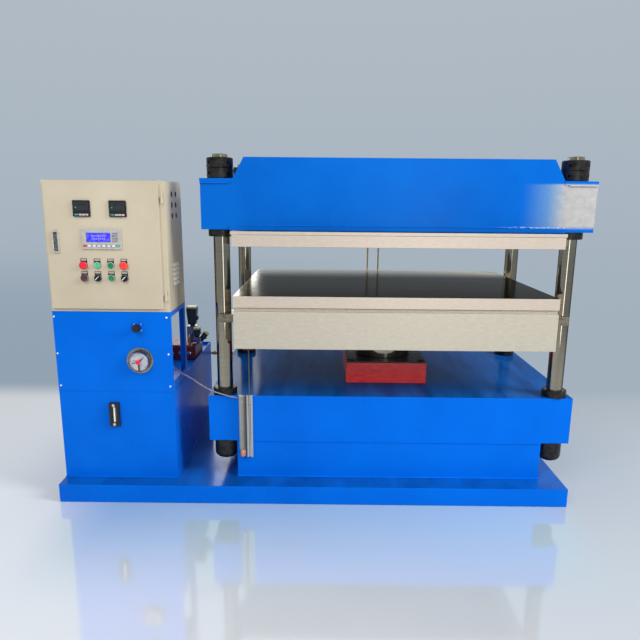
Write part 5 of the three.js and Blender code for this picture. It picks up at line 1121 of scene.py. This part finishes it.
# Regulating valve, its plate and knob
KNOB, KNOB_BACK, KNOB_PLATE = (-1096, 782.9), -431.3, (-432, -427.2)
dress("regulating_valve", 1, "cast_iron", "blue_enamel", paint=zones((1, {"y": KNOB_PLATE})), label="cast")
heads("knob_plate_screws", four(at(KNOB, KNOB_PLATE[0]), 14, 14), 3.2, 1.6, "bright_nickel")
lathe("regulating_knob_turned", [
    (0, -22), (5, -22), (5, 0.4), (13.6, 0.4), (13.6, 9.5), (16.4, 10.5), (16.4, 31), (14.5, 34), (6, 34),
    (5, 33), (0, 33)], at(KNOB, KNOB_BACK), "black_abs", body="regulating_knob_body",
    nodes=("regulating_knob",))
KNOB_RIB, KNOB_RIB_RADIUS, KNOB_RIB_MIDDLE = (1.4, 1.6, 20), 16.3, KNOB_BACK - 20.9
ringed("regulating_knob_ribs", 30, KNOB_RIB_RADIUS, KNOB_RIB, at(KNOB, KNOB_RIB_MIDDLE), "black_abs",
       "regulating_knob_body", way="front")

# Contact pressure gauge
GAUGE, GAUGE_BACK, DIAL_FACE, WINDOW_BACK = (-1095, 634.9), -381.3, -442.6, -450.3
SCREW_CIRCLE, SCREW_BACK, SCREW_ANGLES = 52, -431.2, (0, 117, 234)
DIAL_START, DIAL_SWEEP = -45, 270
lathe("gauge_case_spun", [
    (0, 0), (42, 0), (44, 2), (44, 46), (57, 46), (58, 47), (58, 48), (57, 49), (47, 49), (46, 50), (46, 67),
    (43.5, 72.5), (42.5, 73), (41.8, 72), (41.8, 61), (0, 61)], at(GAUGE, GAUGE_BACK), "black_abs",
    "dark_chrome", "dial_card", sides=72, bands=[0] * 3 + [1] * 11 + [2], nodes=("gauge_case",))
screws = [(SCREW_CIRCLE * math.sin(math.radians(a)), SCREW_CIRCLE * math.cos(math.radians(a)))
          for a in SCREW_ANGLES]
heads("gauge_flange_screws", [(GAUGE[0] + dx, SCREW_BACK, GAUGE[1] + dz) for dx, dz in screws], 3, 1.8,
      "oiled_steel")
for label, count, radius, size in (
    ("long_ticks", 7, 34.5, (6, 1.3, 0.4)),
    ("short_ticks", 31, 35.5, (3.5, 0.7, 0.4)),
    ("scale_arc", 90, 38, (0.9, 2.2, 0.4)),
    ("inner_arc", 60, 25, (0.6, 2.4, 0.4)),
):
    ringed(f"dial_{label}", count, radius, size, at(GAUGE, DIAL_FACE), "grey_print", way="front",
           start=DIAL_START, sweep=DIAL_SWEEP)
dress("gauge_pointer", 0.2, "black_abs", body="gauge_pointer_body")
lathe("gauge_window", [(0, 0), (41.5, 0), (41.5, 2), (0, 2)], at(GAUGE, WINDOW_BACK), "gauge_glass", sides=72,
      nodes=("gauge_glass",))
lathe("gauge_set_knob_moulded", [
    (0, 0), (2, 0), (2, 2.5), (8.4, 2.6), (9, 4), (9, 14), (7.6, 16.4), (0, 16.4)],
    at(GAUGE, WINDOW_BACK + 0.1), "red_abs", sides=32, body="gauge_set_knob_body", nodes=("gauge_set_knob",))
BRIDGE_HALF, BRIDGE_REACH = 3.5, 40
slab("gauge_bridge", (GAUGE[0] - BRIDGE_HALF, WINDOW_BACK + 0.7, GAUGE[1] - BRIDGE_REACH),
     (GAUGE[0] + BRIDGE_HALF, WINDOW_BACK + 1.5, GAUGE[1]), 0.2, "black_abs")


HAND_TAIL, HAND_TIP, HAND_THICK = -6, 0.4, 0.5


def dial_hand(name, angle, length, half, depth):
    """A thin tapered hand on the dial; the angle runs clockwise from the top."""
    work = bmesh.new()
    outline = [(-half, HAND_TAIL), (half, HAND_TAIL), (HAND_TIP, length), (-HAND_TIP, length)]
    back, front = [[work.verts.new((x * MM, -proud * MM, z * MM)) for x, z in outline]
                   for proud in (0, HAND_THICK)]
    work.faces.new(back)
    work.faces.new(front[::-1])
    for i in range(4):
        j = (i + 1) % 4
        work.faces.new([back[j], back[i], front[i], front[j]])
    bmesh.ops.recalc_face_normals(work, faces=work.faces)
    keep(from_bmesh(name, spun(work, angle, at(GAUGE, depth)), "black_abs"))


dial_hand("gauge_low_hand", -80, 29, 3.2, -447.0)
dial_hand("gauge_high_hand", 48, 31, 4, -447.8)

# Oil level gauge: its end blocks and frame are plated, the sight tube shows oil
LEVEL, LEVEL_END = (-1219, 389.1), 49
END_BLOCK, FRAME_LIP, SIGHT_TUBE = (-440, -434), (-446, -440.5), (-440, -431)
dress("level_gauge", 0.8, "black_abs", "bright_nickel", "sight_oil", label="framed", paint=zones(
    (1, {"y": END_BLOCK, "z": about(LEVEL[1] - LEVEL_END, 11)}),
    (1, {"y": END_BLOCK, "z": about(LEVEL[1] + LEVEL_END, 11)}),
    (1, {"y": FRAME_LIP}),
    (2, {"x": about(LEVEL[0], 7), "y": SIGHT_TUBE, "z": about(LEVEL[1], 34)})))

# Control box: painted shade in the gap under it and inside its round vents, and a painted highlight on its
# louvres
GAP_SHADE = {"y": (-445, -100), "z": (820, 849.9)}
VENT_SHADE = {"x": (-956.5, -953), "y": (-400, -200), "z": (1060, 1380), "aside": (0, 0.9)}
LOUVRE_HIGHLIGHT = {"x": (-952.9, -947), "y": (-362, -258), "z": (950, 1056)}
dress("control_box_body", 1.5, "beige_powder", "black_abs", "louvre_painted_highlight",
      paint=zones((1, GAP_SHADE), (1, VENT_SHADE), (2, LOUVRE_HIGHLIGHT)))

# Door with its flush lock, painted shade inside the lock's slot, and the rims of its button holes
LOCK_X, LOCK_SPAN = -1411, (1099, 1192)
LOCK_SLOT_SHADE = {"x": about(LOCK_X, 8.2), "y": (-444.3, -437.7), "z": LOCK_SPAN}
LOCK_PLATE = {"x": about(LOCK_X, 14.5), "y": (-445, -437.7), "z": LOCK_SPAN}
HOLE_RIMS = {"y": (-442, -437.8), "z": (975, 1070)}
dress("control_box_door", 1, "beige_powder", "satin_zinc", "black_abs", body=DOOR,
      paint=zones((2, LOCK_SLOT_SHADE), (1, LOCK_PLATE), (1, HOLE_RIMS)))
dress("lock_lever", 0.8, "dark_chrome", body="lock_lever_body")


# Sizes, as seen from the front, of a controller's window, lamp and mode key and of its digits and keys
WINDOW_SIZE, LAMP_SIZE, MODE_KEY_SIZE = (58, 33), (4, 4), (16, 7)
DIGIT_SIZE, DIGIT_PITCH, KEY_SIZE, KEY_PITCH = (5.5, 0.4, 8), 9, (11, 1.4, 7), 13.5


def controller(side):
    """A temperature controller: window with four dark digits, lamp, mode key and three more keys."""
    node = f"temperature_controller_{side}"
    (left, face, foot), (right, _, top) = corners(node)
    x, z = (left + right) / 2, (foot + top) / 2
    dress(node, 1, "black_abs", body=DOOR)
    name = f"controller_{side}"
    digits, key_row = (x + 2, face - 0.5, z + 16), (x + 9, face - 0.4, z - 25)
    panel(f"{name}_window", (x, z + 8.5), WINDOW_SIZE, face - 0.4, face + 0.2, 0.3, "smoked_window")
    keys(f"{name}_readout_upper", 4, 1, DIGIT_PITCH, 1, DIGIT_SIZE, digits, "black_rubber")
    panel(f"{name}_lamp", (x - 22, z + 4), LAMP_SIZE, face - 0.7, face - 0.2, 0.2, "mint_abs")
    panel(f"{name}_mode_key", (x - 21, z - 25), MODE_KEY_SIZE, face - 1.2, face + 0.3, 0.6, "teal_abs")
    keys(f"{name}_keys", 3, 1, KEY_PITCH, 1, KEY_SIZE, key_row, "pale_rose_abs")


controller("left")
controller("right")


# Sizes, as seen from the front, of the operator panel's display, its frame and the strip of function keys
DISPLAY_SIZE, DISPLAY_FRAME_SIZE, STRIP_SIZE = (92, 32), (100, 39), (154, 10)
MARK_SIZE, PAD_KEY_SIZE = (5.5, 0.3, 6), (6.4, 1.2, 7.6)
FUNCTION_KEY_SIZE, END_KEY_SIZE = (13, 1.2, 6.5), (13, 1.2, 7)
END_KEY_REACH = 69.7


def operator_panel():
    """The operator panel: bezel, housing behind the door, display and its marks, keypad, function keys."""
    (left, face, foot), (right, back, top) = corners("operator_panel")
    display, key_row = (left + 70, foot + 49.8), (left + 81, foot + 15.3)
    slab("operator_bezel", (left, face, foot), (right, face + 6.1, top), 5, "grey_abs", DOOR)
    slab("operator_housing", (left + 8, face + 5.9, foot + 8), (right - 8, back, top - 8), 2, "black_abs",
         DOOR, nodes=("operator_panel",))
    panel("operator_display_frame", display, DISPLAY_FRAME_SIZE, face - 0.5, face + 0.3, 0.3, "blue_abs")
    panel("operator_display", display, DISPLAY_SIZE, face - 0.9, face - 0.3, 0.3, "blue_display")
    marks, pad = (display[0], face - 1, display[1] + 0.5), (right - 27.5, face - 0.4, foot + 50.8)
    keys("display_marks", 7, 2, 8.4, 12, MARK_SIZE, marks, "pale_display")
    keys("operator_keys", 3, 4, 8, 10.4, PAD_KEY_SIZE, pad, "slate_abs")
    panel("function_key_strip", key_row, STRIP_SIZE, face - 0.5, face + 0.2, 0.2, "slate_abs")
    keys("function_keys", 6, 1, 20.2, 1, FUNCTION_KEY_SIZE, at(key_row, face - 0.4), "white_abs")
    for name, dx, key in (("stop", -END_KEY_REACH, "red_abs"), ("start", END_KEY_REACH, "mint_abs")):
        spot = (key_row[0] + dx, face - 0.4, key_row[1])
        keys(f"function_key_{name}", 1, 1, 1, 1, END_KEY_SIZE, spot, key)


operator_panel()

# Push buttons, lamp and selectors: heights in the profiles run forward from behind the door
BUTTON_X, BUTTON_PITCH, BUTTON_BACK = -1303, 56, -433.7
BUTTON_Z, BUTTON_COLUMNS = (1048.2, 995.2), 4
FRAME_SIZE, FRAME_BACK, FRAME_RISE = (27, 1, 30), -438, 13
PLATE_SIZE, PLATE_BACK, PLATE_RISE = (22.5, 0.6, 6.5), -438.7, 22.5
SHANK = [(0, 0), (12.2, 0), (12.2, 1.5), (11, 1.5)]
FLUSH = SHANK + [(11, 11.5), (10, 12.8), (8.5, 12.4), (0, 12.4)]
LENS = SHANK + [(11, 7.5), (13.6, 7.6), (14, 9), (14, 16.5), (12.6, 18.8), (9, 19.6), (0, 19.8)]
DISC = SHANK + [(11, 7.5), (13.8, 7.6), (13.8, 14.5), (12.8, 15.8), (0, 15.8)]
RING = [(12.6, 3.9), (12.9, 7.2), (15.4, 6.7), (15.6, 3.9), (12.6, 3.9)]
SELECTOR_TURN, SELECTOR_BASE = 45, -450


def mushroom(radius):
    return SHANK + [(11, 12.8), (radius - 2, 12.9), (radius, 14.6), (radius, 17), (radius * 0.86, 19.8),
                    (radius * 0.5, 21.4), (0, 21.8)]


for column, row, name, profile, key in (
    (0, 0, "stop_button", mushroom(16), "red_abs"),
    (1, 0, "start_button", FLUSH, "mint_abs"),
    (2, 0, "close_button", FLUSH, "green_abs"),
    (3, 0, "emergency_stop", mushroom(17), "orange_red_abs"),
    (0, 1, "indicator_lamp", LENS, "maroon_lens"),
    (1, 1, "heater_selector", DISC, "black_abs"),
    (2, 1, "open_button", FLUSH, "green_abs"),
    (3, 1, "mode_selector", DISC, "black_abs"),
):
    spot = (BUTTON_X + BUTTON_PITCH * column, BUTTON_Z[row])
    body = DOOR if profile is LENS else f"{name}_body"
    lathe(f"{name}_head", profile, at(spot, BUTTON_BACK), key, "black_abs", sides=40, body=body,
          nodes=(name,), bands=[1, 1, 1] + [0] * (len(profile) - 4))
    lathe(f"{name}_ring", RING, at(spot, BUTTON_BACK), "dark_chrome", sides=40, body=DOOR)
    if profile is DISC:
        for part, half, low, high, proud, tint in (("bar", 3.5, -12.3, 12.3, 8.5, "black_abs"),
                                                   ("line", 1.5, -10, 12, 8.8, "white_abs")):
            work = block((-half * MM, -proud * MM, low * MM), (half * MM, 0, high * MM), 0.4)
            spun(work, SELECTOR_TURN, at(spot, SELECTOR_BASE))
            keep(from_bmesh(f"{name}_{part}", work, tint, smooth=40, crisp=True), body)
ringed("indicator_lamp_facets", 24, 14, (0.8, 1.4, 7), (BUTTON_X, BUTTON_BACK - 12.9, BUTTON_Z[1]),
       "maroon_lens", DOOR, way="front")
middle_x = BUTTON_X + BUTTON_PITCH * (BUTTON_COLUMNS - 1) / 2
for row, z in enumerate(BUTTON_Z):
    for part, size, depth, rise, key in (("frames", FRAME_SIZE, FRAME_BACK, FRAME_RISE, "black_abs"),
                                         ("plates", PLATE_SIZE, PLATE_BACK, PLATE_RISE, "grey_abs")):
        spot = (middle_x, depth, z + rise)
        keys(f"legend_{part}_{row}", BUTTON_COLUMNS, 1, BUTTON_PITCH, 1, size, spot, key)

# Equipment plate behind the door: contactors, a breaker and a terminal strip
GEAR_DEPTH, CONTACTOR_ROW, TERMINAL_ROW = (-400, -192.5), (1158, 1250), (953, 1000)
CONTACTOR_X, CONTACTOR_PITCH, CONTACTOR_Z = -1363, 84, 1199
CONTACTOR_FACE, CONTACTOR_SCREWS = (-276, -272.5), ((-18, 0, 18), (1167, 1231))
BREAKER, BREAKER_FACE = (-1059, 1202), (-272, -255)
STRIP_X, STRIP_PITCH, STRIP_FACE, STRIP_ROWS = -1384, 13, -232, (964, 990)
dress("equipment_plate", 1.5, "zinc_sheet", "black_abs", "cream_abs", paint=zones(
    (1, {"y": GEAR_DEPTH, "z": CONTACTOR_ROW}), (2, {"y": GEAR_DEPTH, "z": TERMINAL_ROW})))
for number in range(3):
    x = CONTACTOR_X + CONTACTOR_PITCH * number
    panel(f"contactor_{number}_cover", (x, CONTACTOR_Z), (48, 46), *CONTACTOR_FACE, 2, "cream_abs", FRAME)
    spots = [(x + dx, CONTACTOR_FACE[0] + 1.5, z) for dx in CONTACTOR_SCREWS[0] for z in CONTACTOR_SCREWS[1]]
    heads(f"contactor_{number}_terminals", spots, 4.5, 3, "brass")
panel("breaker_toggle", BREAKER, (18, 20), *BREAKER_FACE, 1.5, "grey_abs", FRAME)
spots = [(STRIP_X + STRIP_PITCH * i, STRIP_FACE, z) for i in range(28) for z in STRIP_ROWS]
heads("terminal_screws", spots, 3.6, 2, "brass")

# Limit switch rail: a round-backed channel with its cable gland beside a grooved bar
CHANNEL_X, RAIL_DEPTH = -656.5, -416.6
RAIL_SHOE, RAIL_CHANNEL = {"x": (-680, -638.5), "z": (180, 223.5)}, {"x": (-680, -641.5)}
SIDE_SCREWS, SLOT_SCREWS, SLOT_AT, CONNECTOR_FOOT = (452, 330, 245), (430, 300), (-625, -409), 192
# The rail's channel takes painted shade towards the bar
dress("switch_rail", 0.8, "drawn_alloy", "copper", "alloy_with_painted_shade", label="drawn",
      paint=zones((1, RAIL_SHOE), (2, RAIL_CHANNEL)))
lathe("rail_connector", [
    (9, 0), (12.2, 0), (12.6, 1.5), (12.6, 10), (10.5, 11), (10.5, 14), (13.4, 15), (13.4, 25), (12.4, 27),
    (9, 27), (9, 0)], (CHANNEL_X, RAIL_DEPTH, CONNECTOR_FOOT), "copper", way="up", sides=32)
heads("rail_side_screws", [(CHANNEL_X, RAIL_DEPTH - 14, z) for z in SIDE_SCREWS], 3, 1.6, "bright_nickel")
heads("rail_slot_screws", [(*SLOT_AT, z) for z in SLOT_SCREWS], 4.2, 3, "black_phosphate")

# Switch rod: bare below its painted bracket
BARE_ROD, BRACKET_SCREWS = {"z": (200, 686)}, [(x, -430, 695) for x in (-636, -614)]
dress("switch_rod", 1, "oxide_red", "alloy_with_painted_shade", body=PLATEN, paint=zones((1, BARE_ROD)), label="painted")
heads("rod_bracket_screws", BRACKET_SCREWS, 3.5, 2, "bright_nickel", PLATEN)

# Press frame's fasteners and welds
GLAND_TOP, GLAND_BOLTS = 581.5, (171, 186)
LEAD_BOX_X, LEAD_BOX_BACK, LEAD_BOX_Z = {"left": -138, "right": 103}, 498, 906
END_WELD, END_WELD_Z, GIRDER_WELD = 812, 1388, 421.5
SKIRT_HALF, WELD_FOOT, BED_FOOT = 684, 86.5, 257
heads("gland_bolts", four((0, 0, GLAND_TOP), *GLAND_BOLTS, level=True), 11, 6, "black_phosphate", way="up",
      sides=6)
for label, x in LEAD_BOX_X.items():
    heads(f"terminal_box_{label}_screws", four((x, LEAD_BOX_BACK, LEAD_BOX_Z), 11, 11), 2.4, 1.6,
          "bright_nickel", PLATEN, "back")
bead("crosshead_end_welds", [((sx * GIRDER_HALF, y, END_WELD_Z), (sx * END_WELD, y, END_WELD_Z))
                             for sx in (-1, 1) for y in (-GIRDER_WELD, GIRDER_WELD)], 3,
     "blue_enamel_painted_glare", 3)
bead("crosshead_flange_welds", [((-GIRDER_HALF, y, LIP_TOP), (GIRDER_HALF, y, LIP_TOP))
                                for y in (-GIRDER_WELD, GIRDER_WELD)], 2.6, "blue_enamel_painted_glare", 4)
bead("skirt_welds", [((-SKIRT_HALF, y, WELD_FOOT), (SKIRT_HALF, y, WELD_FOOT)) for y in (-405.5, 405.5)]
     + [((x, -403, WELD_FOOT), (x, 403, WELD_FOOT)) for x in (-686.5, 686.5)], 3, "blue_enamel", 5)
TANK_FOOT = ((-1459, -428, -954, -428), (-952, -427, -952, 407), (-1461, -427, -1461, 407),
             (-1459, 409.5, -954, 409.5))
bead("tank_foot_welds", [((x1, y1, WELD_FOOT), (x2, y2, WELD_FOOT)) for x1, y1, x2, y2 in TANK_FOOT], 2.4,
     "blue_enamel", 6)
bead("bed_foot_welds", [((-SKIRT_HALF, y, BED_FOOT), (SKIRT_HALF, y, BED_FOOT)) for y in (-405, 405)], 2.2,
     "blue_enamel", 7)

# Signal cable of the limit switches: out of the unit's frame opening and over to the top of the rail
SWITCH_ROUTE = [(-1000, -300, 829.9), (-1000, -300, 790.1), (-1001, -306, 700), (-997.1, -318, 621.8),
                (-977.9, -332, 580.2), (-947.9, -343, 558), (-897.1, -363, 539.9), (-847.9, -390, 518.2),
                (-790.9, -414.5, 496), (-741.1, -418.8, 481.3), (-703.6, -413.4, 468.4), (-674.3, -408, 461)]
route = centripetal([place(*p) for p in SWITCH_ROUTE], 36)
cable = from_bmesh("signal_cable", tube(route, 3, 14), "grey_pvc", smooth=60)
keep(cable, FRAME, "limit_switch_cable")
tuple(route[0])
run_length(route)
[tuple(p) for p in route]

# Heater leads: from their glands on the crosshead down behind the platens and up into the terminal boxes
LEAD_GLAND, LEAD_REAR, LEAD_TOP, LEAD_LOW, LEAD_BOX = 435.3, 488.5, 1274, 770.9, 888.6
LEAD_BEND = 45
for side, x in (("left", -48), ("right", 13)):
    leg = LEAD_BOX_X[side]
    stops = [(x, LEAD_GLAND, LEAD_TOP), (x, LEAD_REAR, LEAD_TOP), (x, LEAD_REAR, LEAD_LOW),
             (leg, LEAD_REAR, LEAD_LOW), (leg, LEAD_REAR, LEAD_BOX)]
    route = round_bends([place(*p) for p in stops], LEAD_BEND * MM)
    lead = from_bmesh(f"heater_lead_{side}", tube(route, 5, 14), "glass_braid", smooth=60)
    path = resampled(route, 36)
    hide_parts(f"heater_cable_{side}")
    tuple(place(*stops[2]))
    tuple(place(*stops[3]))
    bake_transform(lead)
    run_length(route)

# Camera, floor and light

CAMERA_PLACE = (0.0165, -2.8082, 1.320)
CAMERA_YAW, CAMERA_PITCH, CAMERA_ROLL = -0.0031, 0.2062, 0.009
CAMERA_LENS = 32.046
HORIZON = "#a6b3bf"  # where the studio sheet meets the backdrop


def make_camera():
    level = math.cos(CAMERA_PITCH)
    ahead = Vector((math.sin(CAMERA_YAW) * level, math.cos(CAMERA_YAW) * level, -math.sin(CAMERA_PITCH)))
    right = ahead.cross(Vector((0, 0, 1))).normalized()
    up = right.cross(ahead)
    right, up = (right * math.cos(CAMERA_ROLL) + up * math.sin(CAMERA_ROLL),
                 up * math.cos(CAMERA_ROLL) - right * math.sin(CAMERA_ROLL))
    view = bpy.data.cameras.new("photo_view")
    view.sensor_width = 36
    view.lens = CAMERA_LENS
    view.clip_end = 200
    camera = bpy.data.objects.new("photo_view", view)
    turn = Matrix((right, up, -ahead)).transposed()
    camera.matrix_world = Matrix.LocRotScale(Vector(CAMERA_PLACE), turn, None)
    bpy.context.scene.collection.objects.link(camera)
    bpy.context.scene.camera = camera
    bpy.context.scene.view_settings.view_transform = "Standard"


def lamp(name, spot, target, width, height, power, mirrored=False):
    """A soft area light aimed from one point at another, in metres; a mirrored one skips the floor."""
    light = bpy.data.lights.new(name, "AREA")
    light.shape = "RECTANGLE"
    light.size, light.size_y, light.energy = width, height, power
    item = bpy.data.objects.new(name, light)
    item.visible_camera = False
    item.visible_glossy = mirrored
    if mirrored:
        item.light_linking.receiver_collection = machine_only
    aim = (Vector(target) - Vector(spot)).to_track_quat("-Z", "Y")
    item.matrix_world = Matrix.LocRotScale(Vector(spot), aim, None)
    bpy.context.scene.collection.objects.link(item)


def camera_rays(tree):
    """One for the rays that see the backdrop: from the camera, or by way of metal or glass."""
    rays = add(tree, "ShaderNodeLightPath").outputs
    seen = rays["Is Camera Ray"]
    for other in ("Is Glossy Ray", "Is Transmission Ray"):
        seen = add(tree, "ShaderNodeMath", {"operation": "MAXIMUM"}, {0: seen, 1: rays[other]}).outputs[0]
    return seen


def make_world():
    """A plain backdrop, a little paler upwards, and a white fill light that only the surfaces get."""
    world = bpy.data.worlds.new("studio")
    bpy.context.scene.world = world
    world.use_nodes = True
    tree = world.node_tree
    tree.nodes.clear()
    way = add(tree, "ShaderNodeTexCoord")
    split = add(tree, "ShaderNodeSeparateXYZ", None, {0: way.outputs["Generated"]})
    limits = {"From Min": -0.1, "From Max": 0.3}
    height = add(tree, "ShaderNodeMapRange", limits, {"Value": split.outputs["Z"]})
    tone = blended(tree, height.outputs[0], HORIZON, "#b1bbc5")
    backdrop = add(tree, "ShaderNodeBackground", {"Strength": 1.0}, {"Color": tone})
    fill = add(tree, "ShaderNodeBackground", {"Color": linear("#f2f2f0"), "Strength": 0.62})
    blend = add(tree, "ShaderNodeMixShader", None,
                {0: camera_rays(tree), 1: fill.outputs[0], 2: backdrop.outputs[0]})
    add(tree, "ShaderNodeOutputWorld", None, {"Surface": blend.outputs[0]})


def make_floor():
    """A smooth studio sheet: pale up to a soft edge behind the press, then the backdrop's grey blue."""
    reach, left, right = 14, -1.8, 1.8
    near, far, edge, wall_end = -2.2, 0.9, (0.8, 1.2), (1.15, 13)
    work = bmesh.new()
    bmesh.ops.create_grid(work, x_segments=24, y_segments=24, size=reach)
    floor = from_bmesh("studio_floor", work)
    material, tree, shader = surface("studio_floor_sheet", IOR=1.5, Specular_IOR_Level=1.0, Metallic=0.3,
                                     Roughness=0.08)
    spot = add(tree, "ShaderNodeTexCoord").outputs["Object"]
    axes = add(tree, "ShaderNodeSeparateXYZ", None, {0: spot}).outputs

    def slope(axis, low, high):
        """Rises from none to one between two places on an axis."""
        limits = {"interpolation_type": "SMOOTHSTEP", "From Min": low, "From Max": high}
        return add(tree, "ShaderNodeMapRange", limits, {"Value": axes[axis]}).outputs[0]

    # Painted shade: the sheet darkens towards the right, and further back it grows paler on the left and
    # darker on the right
    across = slope("X", left, right)
    front = blended(tree, slope("Y", near, far), blended(tree, across, "#e2e6ea", "#b8bdc3"),
                    blended(tree, across, "#f2f4f6", "#a8b1ba"))
    # A painted reflection of the machine's blue on the sheet close in front of the base
    tint = product(tree, slope("Y", -1.25, -0.5), slope("Y", 0.5, 0.3), slope("X", -1.2, -0.85),
                   slope("X", 1.2, 0.85))
    front = blended(tree, tint, front, "#b0cad5")
    back = blended(tree, slope("Y", *wall_end), blended(tree, across, "#93a2b1", "#a3b1bd"), HORIZON)
    tree.links.new(front, shader.inputs["Base Color"])
    wall = add(tree, "ShaderNodeEmission", {"Strength": 1.0}, {"Color": back})
    seen = product(tree, slope("Y", *edge), camera_rays(tree))
    blend = add(tree, "ShaderNodeMixShader", None, {0: seen, 1: shader.outputs[0], 2: wall.outputs[0]})
    output = next(node for node in tree.nodes if node.type == "OUTPUT_MATERIAL")
    tree.links.new(blend.outputs[0], output.inputs["Surface"])
    floor.data.materials.append(material)


machine_only = bpy.data.collections.new("machine_only")
for item in bpy.context.scene.objects:
    if item.type == "MESH":
        machine_only.objects.link(item)
make_camera()
make_world()
make_floor()
lamp("key_light", (-1.6, -3.6, 3.6), (0, 0, 0.7), 2.4, 2.0, 92)
lamp("side_light", (3.4, -1.6, 2.9), (-0.6, 0, 1.1), 1.6, 2.4, 190)
lamp("top_light", (0.2, 0.6, 4.0), (0.1, 0, 0.8), 3.0, 2.0, 45)
lamp("strip_light", (0.9, -3.4, 0.95), (0.3, 0, 0.9), 0.6, 1.8, 10, mirrored=True)
lamp("rear_light", (-1.3, 2.7, 1.5), (-0.6, 0, 0.2), 1.4, 0.7, 12, mirrored=True)
